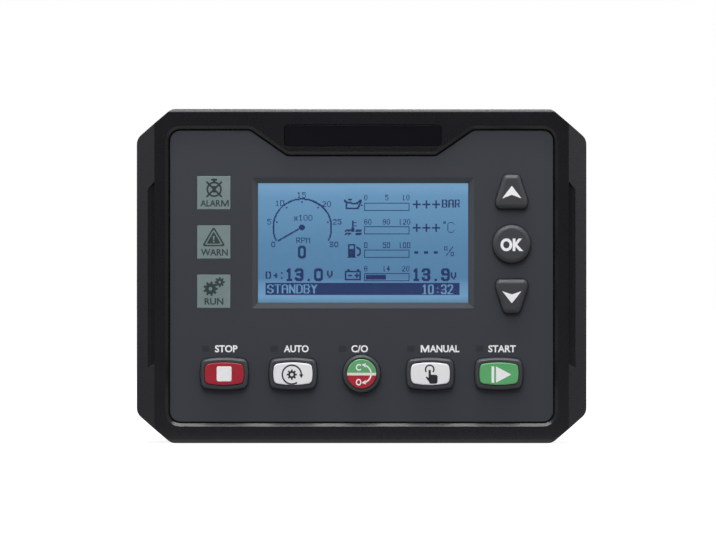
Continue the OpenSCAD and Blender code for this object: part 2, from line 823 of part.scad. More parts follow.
module panel_gasket() color([0.08, 0.08, 0.08]) slab(-gasket_t, 0) gasket_ring();

module blank_name_plate() color([0.03, 0.03, 0.035]) {
    seat = y_front + badge_recess;
    slab(seat - badge_t, seat) polygon(badge_outline(0));
}

// Face and display

module key_hole(outline) {
    slab(y_face - 1, y_face_back + 1) polygon(outline);
}

module face_panel() color([0.25, 0.26, 0.28]) {
    difference() {
        slab(y_face, y_face_back) polygon(face_outline(0));
        translate([screen_x, 0, screen_z]) screen_opening();
        for (p = lamp_places) block(p[0], p[1], lamp_size, lamp_size, y_face - 1, y_face_back + 1);
        for (p = pipe_places) block(p[0], p[1], pipe_w, pipe_h, y_face - 1, y_face_back + 1);
        for (i = [0, 1, 3, 4])
            key_hole(moved(barrel(key_w, key_h, key_corner_r, -key_clearance), key_x[i], key_z));
        bar(key_x[2], key_z, round_key_d + 2 * key_clearance, y_face - 1, y_face_back + 1);
        bar(nav_out, nav_rows[1], ok_d + 2 * key_clearance, y_face - 1, y_face_back + 1);
        key_hole(moved(arrow(1, -key_clearance), nav_out, nav_rows[0]));
        key_hole(moved(arrow(-1, -key_clearance), nav_out, nav_rows[2]));
    }
}

// The display's opening, which widens towards the front.
module screen_opening() {
    grow = screen_bevel * (face_t + 1) / face_t;
    front = box_points(screen_w + 2 * grow, screen_h + 2 * grow);
    back = box_points(screen_w, screen_h);
    loft([[y_face - 1, front], [y_face_back, back], [y_face_back + 1, back]]);
}

module display_window() color([0.75, 0.85, 0.95, 0.4]) {
    w = screen_w + 2 * window_margin;
    h = screen_h + 2 * window_margin;
    block(screen_x, screen_z, w, h, y_face_back, y_window_back);
}

module display_frame() color([0.6, 0.6, 0.62]) {
    difference() {
        block(screen_x, screen_z, module_w, module_h, y_window_back, y_board);
        block(screen_x, screen_z, screen_w, screen_h, y_window_back - 1, y_glass + 1);
        block(screen_x, screen_z, module_w - 2 * frame_t, module_h - 2 * frame_t, y_glass, y_board + 1);
        ribbon_slot(4 * frame_t);
    }
}

// The passage of the ribbon through the display's lower edge.
module ribbon_slot(h) {
    w = ribbon_w + 2 * ribbon_fit;
    block(screen_x, frame_bottom, w, h, y_glass_back - ribbon_fit, y_glass_back + ribbon_t + ribbon_fit);
}

module display_glass() color([0.35, 0.6, 0.85])
    block(screen_x, screen_z, glass_w, glass_h, y_glass, y_glass_back);

module display_backlight() color([0.95, 0.96, 0.98]) {
    difference() {
        block(screen_x, screen_z, glass_w, glass_h, y_glass_back, y_board);
        ribbon_slot(2 * (ribbon_in + 1));
    }
}

// Length of the ribbon inside the display.
ribbon_in = 2;

// The ribbon leaves the glass through the frame's lower wall and turns down to the board.
module display_ribbon() color([0.75, 0.5, 0.2]) {
    top = frame_bottom + ribbon_in;
    turn = frame_bottom - ribbon_drop;
    foot = turn - ribbon_foot;
    translate([screen_x - ribbon_w / 2, 0, 0]) rotate([90, 0, 90]) linear_extrude(ribbon_w) polygon([
        [y_glass_back, top], [y_glass_back, turn], [y_board - ribbon_t, turn], [y_board - ribbon_t, foot],
        [y_board, foot], [y_board, turn + ribbon_t], [y_glass_back + ribbon_t, turn + ribbon_t],
        [y_glass_back + ribbon_t, top]
    ]);
}

// Lamps and status lights

// The flange that holds a lens or a status light behind the face.
module lens_foot(x, z, w, h) {
    block(x, z, w + 2 * lens_flange, h + 2 * lens_flange, y_face_back, y_face_back + lens_flange_t);
}

module lamp_lens(i) {
    size = lamp_size - 2 * lens_fit;
    union() {
        block(lamp_x, lamp_rows[i], size, size, y_face, y_face_back + eps);
        lens_foot(lamp_x, lamp_rows[i], size, size);
    }
}

module alarm_lens() color([0.55, 0.58, 0.55]) lamp_lens(0);

module warning_lens() color([0.55, 0.58, 0.55]) lamp_lens(1);

module running_lens() color([0.55, 0.58, 0.55]) lamp_lens(2);

module status_light_pipes() color([0.4, 0.42, 0.44]) {
    w = pipe_w - 2 * lens_fit;
    h = pipe_h - 2 * lens_fit;
    for (p = pipe_places) union() {
        block(p[0], p[1], w, h, y_face, y_led - pipe_gap);
        lens_foot(p[0], p[1], w, h);
    }
}

module indicator_leds() color([0.95, 0.95, 0.85]) {
    for (p = concat(pipe_places, lamp_places)) block(p[0], p[1], led_size, led_size, y_led, y_board);
}

// Keys

module key_foot(outline, x, z) {
    slab(y_key_flange, y_key_back) polygon(moved(outline, x, z));
    bar(x, z, stem_d, y_key_back - eps, y_plunger);
}

function key_sections(steps, outlines) = concat(
    [for (i = [0:len(steps) - 1]) [y_key_top + steps[i][1], outlines[i]]],
    [[y_key_flange + eps, outlines[len(steps) - 1]]]
);

module barrel_key(i) {
    x = key_x[i];
    outlines = [for (s = key_steps) moved(barrel(key_w, key_h, key_corner_r, s[0]), x, key_z)];
    difference() {
        union() {
            loft(key_sections(key_steps, outlines));
            key_foot(barrel(key_w, key_h, key_corner_r, -key_flange), x, key_z);
        }
        slab(y_key_top - 1, y_cap_seat)
            polygon(moved(barrel(cap_w, cap_h, cap_corner_r, -cap_fit), x, key_z));
    }
}

module barrel_cap(i) {
    top = y_cap_seat - cap_t;
    outlines = [for (s = cap_steps) moved(barrel(cap_w, cap_h, cap_corner_r, s[0]), key_x[i], key_z)];
    loft(concat(
        [for (k = [0:len(cap_steps) - 1]) [top + cap_steps[k][1], outlines[k]]],
        [[y_cap_seat, outlines[len(cap_steps) - 1]]]
    ));
}

// A turned key: its side profile revolved about Y.
module round_key(x, z, d, cap_d) {
    r = d / 2;
    steps = cap_d > 0 ? key_steps : nav_steps;
    profile = [for (s = steps) [r - s[0], -(y_key_top + s[1])]];
    foot = [
        [r, -y_key_flange], [r + key_flange, -y_key_flange], [r + key_flange, -y_key_back],
        [stem_d / 2, -y_key_back], [stem_d / 2, -y_plunger], [0, -y_plunger]
    ];
    top = cap_d > 0
        ? [[0, -y_cap_seat], [cap_d / 2 + cap_fit, -y_cap_seat], [cap_d / 2 + cap_fit, -y_key_top]]
        : [[0, -y_key_top]];
    translate([x, 0, z]) rotate([90, 0, 0]) rotate_extrude() polygon(concat(top, profile, foot));
}

module arrow_key(row, up) {
    z = nav_rows[row];
    outlines = [for (s = nav_steps) moved(arrow(up, s[0]), nav_out, z)];
    union() {
        loft(key_sections(nav_steps, outlines));
        key_foot(arrow(up, -key_flange), nav_out, z);
    }
}

module stop_key() color([0.22, 0.23, 0.25]) barrel_key(0);

module auto_key() color([0.22, 0.23, 0.25]) barrel_key(1);

module breaker_key() color([0.22, 0.23, 0.25]) round_key(key_x[2], key_z, round_key_d, round_cap_d);

module manual_key() color([0.22, 0.23, 0.25]) barrel_key(3);

module start_key() color([0.22, 0.23, 0.25]) barrel_key(4);

module up_key() color([0.22, 0.23, 0.25]) arrow_key(0, 1);

module ok_key() color([0.22, 0.23, 0.25]) round_key(nav_out, nav_rows[1], ok_d, 0);

module down_key() color([0.22, 0.23, 0.25]) arrow_key(2, -1);

module stop_cap() color([0.75, 0.05, 0.12]) barrel_cap(0);

module auto_cap() color([0.92, 0.92, 0.93]) barrel_cap(1);

module breaker_cap() color([0.92, 0.92, 0.93]) {
    r = round_cap_d / 2;
    top = y_cap_seat - cap_t;
    rim = [for (s = cap_steps) [r - s[0], -(top + s[1])]];
    translate([key_x[2], 0, key_z]) rotate([90, 0, 0]) rotate_extrude()
        polygon(concat([[0, -top]], rim, [[r, -y_cap_seat], [0, -y_cap_seat]]));
}

module manual_cap() color([0.92, 0.92, 0.93]) barrel_cap(3);

module start_cap() color([0.1, 0.55, 0.25]) barrel_cap(4);

module plunger(i) color([0.12, 0.12, 0.12]) {
    p = switch_places[i];
    bar(p[0], p[1], plunger_d, y_plunger, y_plunger_end);
}

module stop_plunger() plunger(0);

module auto_plunger() plunger(1);

module breaker_plunger() plunger(2);

module manual_plunger() plunger(3);

module start_plunger() plunger(4);

module up_plunger() plunger(5);

module ok_plunger() plunger(6);

module down_plunger() plunger(7);

module key_switches() color([0.5, 0.5, 0.52]) {
    well_end = y_plunger_end + key_travel + well_room;
    for (p = switch_places) difference() {
        block(p[0], p[1], switch_size, switch_size, y_switch, y_board);
        bar(p[0], p[1], plunger_d + 2 * plunger_clearance, y_switch - 1, well_end);
    }
}

// Boards and what they carry

module drilled_board(h, screw_x, screw_z, front) {
    hole_d = board_screw_d + 2 * screw_clearance;
    difference() {
        block(0, 0, board_w, h, front, front + board_t);
        for (x = [-1, 1], z = [-1, 1])
            bar(x * screw_x, z * screw_z, hole_d, front - 1, front + board_t + 1);
    }
}

module display_board() color([0.05, 0.35, 0.2]) drilled_board(board_h, board_screw_x, board_screw_z, y_board);

module main_board() color([0.05, 0.35, 0.2]) drilled_board(main_h, main_screw_x, main_screw_z, y_main);

module display_board_screws() color([0.7, 0.7, 0.72]) {
    for (x = [-1, 1], z = [-1, 1])
        screw(
            x * board_screw_x, z * board_screw_z, y_board_back, board_screw_d, board_screw_len,
            board_head_d, board_head_h, -1
        );
}

module main_board_screws() color([0.7, 0.7, 0.72]) {
    for (x = [-1, 1], z = [-1, 1])
        screw(
            x * main_screw_x, z * main_screw_z, y_main, board_screw_d, board_screw_len,
            board_head_d, board_head_h, 1
        );
}

// Two header blocks joined by their pins, from one board to the other.
module board_link() color([0.1, 0.1, 0.1]) {
    w = link_pins * link_pitch;
    h = 2 * link_pitch;
    union() {
        block(0, -link_low, w, h, y_board_back, y_board_back + link_block_h);
        block(0, -link_low, w, h, y_main - link_block_h, y_main);
        for (i = [0:link_pins - 1], k = [-1, 1])
            block(
                (i - (link_pins - 1) / 2) * link_pitch, k * link_pitch / 2 - link_low,
                link_pin, link_pin, y_board_back + 1, y_main - 1
            );
    }
}

module microcontroller() color([0.09, 0.09, 0.1])
    block(chip_side - board_w / 2, 0, chip_size, chip_size, y_board_back, y_board_back + chip_t);

module relays() color([0.12, 0.3, 0.6]) {
    first = -(relay_count - 1) / 2;
    for (i = [0:relay_count - 1])
        block((first + i) * relay_pitch, relay_z, relay_w, relay_l, y_main - relay_h, y_main);
}

module capacitors() color([0.15, 0.15, 0.2]) {
    first = cap_can_side - board_w / 2;
    for (i = [0:cap_can_count - 1])
        bar(first + i * cap_can_pitch, -cap_can_low, cap_can_d, y_main - cap_can_h, y_main);
}

cell_x = board_w / 2 - cell_side;
y_cell = y_board_back + holder_wall;

module clock_cell() color([0.8, 0.8, 0.8]) bar(cell_x, -cell_low, cell_d, y_cell, y_cell + cell_t);

module clock_cell_holder() color([0.1, 0.1, 0.1]) {
    inner = cell_d + 2 * holder_fit;
    difference() {
        bar(cell_x, -cell_low, inner + 2 * holder_wall, y_board_back, y_cell + holder_h);
        bar(cell_x, -cell_low, inner, y_cell, y_cell + holder_h + 1);
    }
}

// Housing

module rear_housing() color([0.1, 0.1, 0.11]) {
    difference() {
        union() {
            difference() {
                slab(y_rim, y_rear) polygon(body_outline(0));
                slab(y_rim - 1, y_rear_in) polygon(body_outline(wall));
            }
            for (x = [-1, 1], z = [-1, 1]) {
                bar(x * case_x, z * case_z, case_tube_d, y_rim, y_rear - eps);
                bar(x * main_screw_x, z * main_screw_z, boss_d, y_main_back, y_rear_in + eps);
            }
        }
        for (x = [-1, 1], z = [-1, 1]) {
            bar(x * case_x, z * case_z, case_screw_d + 2 * screw_clearance, y_rim - 1, y_rear + 1);
            bar(x * case_x, z * case_z, case_head_d + 2 * screw_clearance, case_seat, y_rear + 1);
            bar(
                x * main_screw_x, z * main_screw_z, board_screw_d + 2 * screw_clearance,
                y_main_back - 1, y_main + board_screw_len + screw_tip_room
            );
        }
        for (row = all_rows) header_opening(row);
        block(socket_x, 0, socket_w + 2 * socket_fit, socket_h + 2 * socket_fit, y_rear_in - 1, y_rear + 1);
        vents();
        for (side = [-1, 1], z = [-1, 1])
            translate([side * (body_w / 2 - wall / 2), clip_slot_y, z * clip_slot_z])
                cube([wall * 2, clip_slot_w, clip_slot_len], center = true);
    }
}

module vents() {
    first = -(vent_count - 1) / 2;
    middle = body_depth / 2;
    for (side = [-1, 1], i = [0:vent_count - 1])
        translate([(first + i) * vent_pitch, middle, side * (body_h / 2 - wall / 2)])
            cube([vent_w, vent_len, wall * 2], center = true);
}

module header_opening(row) {
    w = header_len(row) + 2 * header_clearance;
    h = header_w + 2 * header_clearance;
    block(row[0], row[1] * terminal_z, w, h, y_rear_in - 1, y_rear + 1);
}

module housing_screws() color([0.7, 0.7, 0.72]) {
    len = case_seat - y_case_tip;
    for (x = [-1, 1], z = [-1, 1])
        screw(x * case_x, z * case_z, case_seat, case_screw_d, len, case_head_d, case_head_h, -1);
}

// Terminals

function header_len(row) = row[2] * row[3] + 2 * header_wall;

function way_x(row, i) = row[0] + (i - (row[2] - 1) / 2) * row[3];

module header(row) color([0.12, 0.42, 0.2]) {
    z = row[1] * terminal_z;
    len = header_len(row);
    difference() {
        block(row[0], z, len, header_w, y_main_back, y_header_top);
        block(row[0], z, len - 2 * header_wall, header_w - 2 * header_wall, y_header_floor, y_header_top + 1);
    }
}

module plug(row) color([0.14, 0.5, 0.24]) {
    z = row[1] * terminal_z;
    len = header_len(row);
    wall_room = 2 * (header_wall + plug_clearance);
    pin_hole = pin_size + 2 * pin_fit;
    difference() {
        union() {
            block(row[0], z, len - wall_room, header_w - wall_room, y_header_floor + plug_gap, y_plug + eps);
            block(row[0], z, len, plug_w, y_plug, y_plug_back);
        }
        for (i = [0:row[2] - 1]) {
            block(way_x(row, i), z, pin_hole, pin_hole, y_main_back, y_pin_tip + plug_gap);
            block(way_x(row, i), z, wire_w, wire_h, y_plug_back - wire_depth, y_plug_back + 1);
            wire_screw_at(row, i, 0) cylinder(d = wire_screw_d + 2 * wire_screw_fit, h = plug_w / 2 + 1);
        }
    }
}

// Places a child that points out of the plug's side, starting at a height above the plug's middle.
module wire_screw_at(row, i, start) {
    y = y_plug_back - wire_depth / 2;
    translate([way_x(row, i), y, row[1] * (terminal_z + start)])
        rotate([row[1] > 0 ? 0 : 180, 0, 0]) children();
}

module power_header() header(power_row);

module output_header() header(output_row);

module input_header() header(input_row);

module sensing_header() header(sensing_row);

module power_plug() plug(power_row);

module output_plug() plug(output_row);

module input_plug() plug(input_row);

module sensing_plug() plug(sensing_row);

module header_pins() color([0.8, 0.75, 0.5]) {
    for (row = all_rows, i = [0:row[2] - 1])
        block(way_x(row, i), row[1] * terminal_z, pin_size, pin_size, y_header_floor, y_pin_tip);
}

module terminal_screws() color([0.7, 0.7, 0.72]) {
    start = plug_w / 2 - wire_screw_sink - wire_screw_h;
    for (row = all_rows, i = [0:row[2] - 1])
        wire_screw_at(row, i, start) difference() {
            cylinder(d = wire_screw_d, h = wire_screw_h);
            translate([-wire_screw_d, -driver_slot_w / 2, wire_screw_h - driver_slot_t])
                cube([2 * wire_screw_d, driver_slot_w, driver_slot_t + 1]);
        }
}

module data_socket() color([0.72, 0.73, 0.75]) {
    inner_w = socket_w - 2 * socket_wall;
    inner_h = socket_h - 2 * socket_wall;
    union() {
        difference() {
            block(socket_x, 0, socket_w, socket_h, y_main_back, socket_top);
            block(socket_x, 0, inner_w, inner_h, socket_top - socket_depth, socket_top + 1);
        }
        block(socket_x, 0, tongue_w, tongue_h, socket_top - socket_depth - eps, socket_top - 1);
    }
}

front_bezel();
blank_name_plate();
panel_gasket();
face_panel();
display_window();
display_frame();
display_glass();
display_backlight();
display_ribbon();
alarm_lens();
warning_lens();
running_lens();
status_light_pipes();
indicator_leds();
key_switches();
display_board();
display_board_screws();
board_link();
main_board();
main_board_screws();
microcontroller();
relays();
capacitors();
clock_cell();
clock_cell_holder();
rear_housing();
housing_screws();
power_header();
output_header();
input_header();
sensing_header();
power_plug();
output_plug();
input_plug();
sensing_plug();
header_pins();
terminal_screws();
data_socket();
stop_key();
stop_cap();
stop_plunger();
auto_key();
auto_cap();
auto_plunger();
breaker_key();
breaker_cap();
breaker_plunger();
manual_key();
manual_cap();
manual_plunger();
start_key();
start_cap();
start_plunger();
up_key();
up_plunger();
ok_key();
ok_plunger();
down_key();
down_plunger();
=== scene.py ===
# %% [markdown]
# # A genset controller, dressed
# The object is the front unit of an engine generator set: a black moulded bezel, a grey face with a
# blue display, three lamp tiles and eight keys, and behind the door a housing with terminal plugs.
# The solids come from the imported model. This lesson gives them rounded edges, finishes, printing and
# a live display, and then sets up the studio. All sizes below are in millimetres until a mesh is made.

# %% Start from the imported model
import math

import bmesh
import bpy
from mathutils import Matrix, Vector


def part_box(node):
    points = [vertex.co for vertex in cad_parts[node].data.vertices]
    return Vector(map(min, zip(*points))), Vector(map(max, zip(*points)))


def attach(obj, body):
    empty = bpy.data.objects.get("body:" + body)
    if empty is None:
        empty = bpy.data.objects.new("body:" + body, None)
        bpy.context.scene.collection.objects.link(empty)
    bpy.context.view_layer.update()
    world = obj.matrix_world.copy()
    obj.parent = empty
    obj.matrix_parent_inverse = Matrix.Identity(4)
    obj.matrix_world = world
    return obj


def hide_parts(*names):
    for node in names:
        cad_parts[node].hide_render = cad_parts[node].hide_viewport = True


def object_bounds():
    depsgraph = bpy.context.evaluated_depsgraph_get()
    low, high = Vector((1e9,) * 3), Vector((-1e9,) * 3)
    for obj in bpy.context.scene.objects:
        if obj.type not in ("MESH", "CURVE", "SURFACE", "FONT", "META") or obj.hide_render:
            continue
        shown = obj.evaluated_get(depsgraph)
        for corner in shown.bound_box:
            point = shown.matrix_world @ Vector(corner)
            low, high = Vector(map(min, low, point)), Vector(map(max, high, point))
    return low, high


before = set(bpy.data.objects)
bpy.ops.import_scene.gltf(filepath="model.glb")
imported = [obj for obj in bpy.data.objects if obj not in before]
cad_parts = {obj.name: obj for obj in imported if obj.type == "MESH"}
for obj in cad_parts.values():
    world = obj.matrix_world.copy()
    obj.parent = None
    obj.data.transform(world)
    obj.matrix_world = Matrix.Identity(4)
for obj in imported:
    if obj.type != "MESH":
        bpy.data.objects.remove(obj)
cad_low, cad_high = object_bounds()
MM = 0.001

# %% [markdown]
# ## Colours and finishes
# Moulded plastic is never one flat colour: a fine spark-eroded grain breaks up the highlights, and
# the shine drifts a little from place to place. One function makes such a finish from two noises on
# object coordinates. The fine one drives the bump and the roughness, and the wide one drives the colour.

# %% A colour as it is read from a screen
def shade(red, green, blue):
    """Turns 8-bit screen values into the linear colour that a shader takes."""
    linear = []
    for value in (red, green, blue):
        v = value / 255
        linear.append(v / 12.92 if v <= 0.04045 else ((v + 0.055) / 1.055) ** 2.4)
    return (*linear, 1.0)


def scaled(colour, factor):
    return (*(min(1.0, c * factor) for c in colour[:3]), 1.0)


print("face grey:", [round(c, 4) for c in shade(58, 61, 67)[:3]])

# %% Small helpers for node trees
def new_material(name):
    material = bpy.data.materials.new(name)
    material.use_nodes = True
    tree = material.node_tree
    return material, tree, tree.nodes["Principled BSDF"]


def object_coords(tree):
    return tree.nodes.new("ShaderNodeTexCoord").outputs["Object"]


def axes(tree, vector):
    """The X, Y and Z of a vector."""
    node = tree.nodes.new("ShaderNodeSeparateXYZ")
    tree.links.new(vector, node.inputs[0])
    return node.outputs


def noise(tree, coords, size_mm, detail=2.0):
    """A noise whose features are about size_mm across."""
    node = tree.nodes.new("ShaderNodeTexNoise")
    node.inputs["Scale"].default_value = 1 / (size_mm * MM)
    node.inputs["Detail"].default_value = detail
    tree.links.new(coords, node.inputs["Vector"])
    return node.outputs["Fac"]


def mapped(tree, value, from_low, from_high, to_low=0.0, to_high=1.0):
    """Maps one range of values to another, and holds them at its ends."""
    node = tree.nodes.new("ShaderNodeMapRange")
    ends = {"From Min": from_low, "From Max": from_high, "To Min": to_low, "To Max": to_high}
    for label, end in ends.items():
        node.inputs[label].default_value = end
    tree.links.new(value, node.inputs["Value"])
    return node.outputs["Result"]


def spread(tree, factor, low, high):
    """Maps the middle range of a noise to the values from low to high."""
    return mapped(tree, factor, 0.3, 0.7, low, high)


def blend_colours(tree, factor, first, second):
    node = tree.nodes.new("ShaderNodeMix")
    node.data_type = "RGBA"
    node.inputs["A"].default_value = first
    node.inputs["B"].default_value = second
    tree.links.new(factor, node.inputs["Factor"])
    return node.outputs["Result"]


def ramp(tree, factor, stops, interpolation="LINEAR"):
    """A colour ramp with the given places and colours."""
    node = tree.nodes.new("ShaderNodeValToRGB")
    node.color_ramp.interpolation = interpolation
    elements = node.color_ramp.elements
    while len(elements) < len(stops):
        elements.new(0.5)
    for element, (spot, colour) in zip(elements, stops):
        element.position = spot
        element.color = colour
    tree.links.new(factor, node.inputs["Fac"])
    return node.outputs["Color"]


def grain(tree, shader, height, strength, depth_mm):
    node = tree.nodes.new("ShaderNodeBump")
    node.inputs["Strength"].default_value = strength
    node.inputs["Distance"].default_value = depth_mm * MM
    tree.links.new(height, node.inputs["Height"])
    tree.links.new(node.outputs["Normal"], shader.inputs["Normal"])


print("node helpers ready")

# %% Moulded and metal finishes
ROUGH_DRIFT = 0.05
GRAIN_DEPTH = 0.12
COAT_ROUGH = 0.15


def finish(name, colour, rough, grain_mm=0.3, bump=0.25, vary=0.06, drift_mm=14,
           metal=0.0, coat=0.0, gloss=0.4):
    """A surface with fine grain, and with colour and shine that drift over it."""
    material, tree, shader = new_material(name)
    coords = object_coords(tree)
    drift = noise(tree, coords, drift_mm, 3)
    dark, light = scaled(colour, 1 - vary), scaled(colour, 1 + vary)
    tint = blend_colours(tree, spread(tree, drift, 0, 1), dark, light)
    tree.links.new(tint, shader.inputs["Base Color"])
    fine = noise(tree, coords, grain_mm)
    tree.links.new(spread(tree, fine, rough - ROUGH_DRIFT, rough + ROUGH_DRIFT), shader.inputs["Roughness"])
    grain(tree, shader, fine, bump, grain_mm * GRAIN_DEPTH)
    shader.inputs["Metallic"].default_value = metal
    shader.inputs["Coat Weight"].default_value = coat
    shader.inputs["Coat Roughness"].default_value = COAT_ROUGH
    shader.inputs["Specular IOR Level"].default_value = gloss
    material.diffuse_color = colour
    return material


FINISHES = {
    "bezel_black": finish("bezel_black", shade(25, 24, 28), 0.27, 0.28, 0.15, gloss=0.4),
    "name_plate_black": finish("name_plate_black", shade(15, 14, 19), 0.30, 0.15, 0.02, 0.1, 20, gloss=0.2),
    "gasket_rubber": finish("gasket_rubber", shade(24, 24, 25), 0.75, 0.4, 0.5, 0.12),
    "face_grey": finish("face_grey", shade(58, 61, 67), 0.60, 0.22, 0.25, 0.03, 45, gloss=0.2),
    # The face grey, a shade lighter, for the slopes round the display: painted light, not a colour of the
    # moulding.
    "slope_painted_light_grey": finish("slope_painted_light_grey", shade(68, 72, 78), 0.55, 0.22, 0.20, 0.03, 45, gloss=0.2),
    "frame_steel": finish("frame_steel", shade(150, 152, 155), 0.35, 0.6, 0.05, 0.05, metal=1.0),
    "backlight_white": finish("backlight_white", shade(228, 232, 236), 0.5, 1.0, 0.05),
    "ribbon_amber": finish("ribbon_amber", shade(168, 96, 34), 0.4, 0.8, 0.05, 0.1),
    "led_cream": finish("led_cream", shade(225, 218, 180), 0.4, 0.5, 0.05),
    "switch_grey": finish("switch_grey", shade(120, 122, 126), 0.45),
    "board_green": finish("board_green", shade(20, 84, 52), 0.35, 1.2, 0.08, 0.12, 4, coat=0.3),
    "screw_steel": finish("screw_steel", shade(176, 178, 182), 0.32, 0.5, 0.12, 0.1, 2, metal=1.0),
    "chip_black": finish("chip_black", shade(28, 28, 30), 0.5, 0.2, 0.2),
    "relay_blue": finish("relay_blue", shade(24, 58, 120), 0.4),
    "capacitor_sleeve": finish("capacitor_sleeve", shade(34, 36, 48), 0.35),
    "cell_steel": finish("cell_steel", shade(190, 191, 194), 0.25, 0.7, 0.06, 0.05, metal=1.0),
    "terminal_green": finish("terminal_green", shade(36, 128, 74), 0.45, 0.3, 0.25, 0.08, 6),
    "pin_brass": finish("pin_brass", shade(196, 164, 92), 0.3, 0.5, 0.08, 0.08, metal=1.0),
    "socket_steel": finish("socket_steel", shade(186, 188, 191), 0.28, 0.6, 0.08, 0.06, metal=1.0),
    "key_grey": finish("key_grey", shade(63, 64, 68), 0.44, 0.25, 0.20, 0.04, 6, gloss=0.35),
    "plunger_black": finish("plunger_black", shade(26, 26, 28), 0.4),
    "housing_black": finish("housing_black", shade(30, 30, 33), 0.55, 0.45, 0.45, 0.08),
    "cap_red": finish("cap_red", shade(166, 38, 52), 0.34, 0.5, 0.06, 0.04, 5, coat=0.15),
    "cap_white": finish("cap_white", shade(238, 238, 241), 0.36, 0.5, 0.06, 0.02, 5, coat=0.15),
    "cap_green": finish("cap_green", shade(96, 172, 112), 0.34, 0.5, 0.06, 0.04, 5, coat=0.15),
    "lens_grey": finish("lens_grey", shade(119, 135, 135), 0.45, 0.9, 0.06, 0.03, 3),
    "light_pipe_grey": finish("light_pipe_grey", shade(50, 53, 59), 0.45, 0.6, 0.05, 0.05, 2, gloss=0.2),
}
print("finishes:", len(FINISHES))

# %% [markdown]
# ## Printing inks
# The words and signs are screen-printed: a thin, slightly uneven film. White ink thins out a little
# over grain, and the dark ink on the lamp tiles is a weak grey green.

# %% Printing inks
INKS = {
    "white_ink": finish("white_ink", shade(242, 242, 244), 0.5, 0.35, 0.10, 0.03, 1.5),
    "dark_ink": finish("dark_ink", shade(36, 36, 40), 0.5, 0.35, 0.10, 0.08, 1.5),
    "lamp_ink": finish("lamp_ink", shade(44, 60, 60), 0.5, 0.35, 0.10, 0.10, 1.5),
}
print("inks:", ", ".join(INKS))

# %% [markdown]
# ## The clear window
# A window moulded from clear plastic sits behind the face. It needs a true transmission shader, so
# that the display shows through it and the room shows on it. A faint haze varies its roughness.

# %% The clear window's finish
def window_finish():
    material, tree, shader = new_material("clear_window")
    coords = object_coords(tree)
    haze = spread(tree, noise(tree, coords, 9, 3), 0.0, 0.02)
    tree.links.new(haze, shader.inputs["Roughness"])
    shader.inputs["Base Color"].default_value = shade(250, 252, 255)
    shader.inputs["Transmission Weight"].default_value = 1.0
    shader.inputs["IOR"].default_value = 1.45
    return material


FINISHES["clear_window"] = window_finish()
print("window finish ready")

# %% [markdown]
# ## The display's backlight
# The screen is a blue liquid-crystal panel lit from behind, so its ground gives off light. The ground
# is lightest along the upper and lower edges and darkest in the lower third. The height on the panel,
# in object coordinates and with a slow noise added, picks the colour.

# %% The lit ground of the display
DOT_PITCH = 0.378
DOT_COLUMNS, DOT_ROWS = 240, 128
DOT_MIDDLE = Vector((0.45, 15.0))
GROUND_BELOW, GROUND_ABOVE = 27, 29
GROUND_DRIFT = 2


def arithmetic(tree, operation, first, second):
    node = tree.nodes.new("ShaderNodeMath")
    node.operation = operation
    for socket, value in zip(node.inputs, (first, second)):
        if isinstance(value, (int, float)):
            socket.default_value = value
        else:
            tree.links.new(value, socket)
    return node.outputs[0]


def display_finish():
    material, tree, shader = new_material("display_blue")
    coords = object_coords(tree)
    cloud = noise(tree, coords, 26, 2)
    drift = arithmetic(tree, "MULTIPLY", arithmetic(tree, "SUBTRACT", cloud, 0.5), GROUND_DRIFT * MM)
    height = arithmetic(tree, "ADD", axes(tree, coords)["Z"], drift)
    reach = mapped(tree, height, (DOT_MIDDLE.y - GROUND_BELOW) * MM, (DOT_MIDDLE.y + GROUND_ABOVE) * MM)
    ground = ramp(tree, reach, [
        (0.0, shade(100, 140, 170)), (0.04, shade(114, 158, 192)), (0.14, shade(104, 147, 184)),
        (0.20, shade(87, 130, 166)), (0.45, shade(91, 135, 170)), (0.70, shade(101, 146, 181)),
        (0.87, shade(107, 152, 188)), (0.96, shade(120, 164, 198)), (1.0, shade(116, 159, 192)),
    ])
    tree.links.new(ground, shader.inputs["Emission Color"])
    shader.inputs["Emission Strength"].default_value = 1.0
    shader.inputs["Base Color"].default_value = shade(12, 16, 22)
    shader.inputs["Specular IOR Level"].default_value = 0.1
    tree.links.new(spread(tree, cloud, 0.25, 0.35), shader.inputs["Roughness"])
    return material


FINISHES["display_blue"] = display_finish()
INKS["crystal_ink"] = finish("crystal_ink", shade(16, 19, 44), 0.5, 0.4, 0.02, 0.05, 8, gloss=0.1)
ink_shader = INKS["crystal_ink"].node_tree.nodes["Principled BSDF"]
ink_shader.inputs["Emission Color"].default_value = shade(36, 46, 96)
ink_shader.inputs["Emission Strength"].default_value = 0.75
print("display finish ready")

# %% [markdown]
# ## The two-colour cap
# The round key opens and closes a breaker. Its cap is printed green above and red below, with a white
# bar between. The height above the cap's middle picks the colour, with sharp steps.

# %% The two-colour cap's finish
CAP_REACH = 8
BAR_BELOW, BAR_ABOVE = 0.78, 0.48


def split_cap_finish(middle_z):
    material, tree, shader = new_material("cap_two_colour")
    coords = object_coords(tree)
    height = axes(tree, coords)["Z"]
    reach = mapped(tree, height, middle_z - CAP_REACH * MM, middle_z + CAP_REACH * MM)
    bands = ramp(tree, reach, [
        (0.0, shade(176, 38, 52)),
        ((CAP_REACH - BAR_BELOW) / (2 * CAP_REACH), shade(232, 228, 220)),
        ((CAP_REACH + BAR_ABOVE) / (2 * CAP_REACH), shade(98, 168, 112)),
    ], "CONSTANT")
    tree.links.new(bands, shader.inputs["Base Color"])
    fine = noise(tree, coords, 0.5)
    tree.links.new(spread(tree, fine, 0.30, 0.40), shader.inputs["Roughness"])
    grain(tree, shader, fine, 0.06, 0.06)
    shader.inputs["Coat Weight"].default_value = 0.25
    shader.inputs["Coat Roughness"].default_value = COAT_ROUGH
    return material


def middle(node):
    low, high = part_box(node)
    return (low + high) / 2


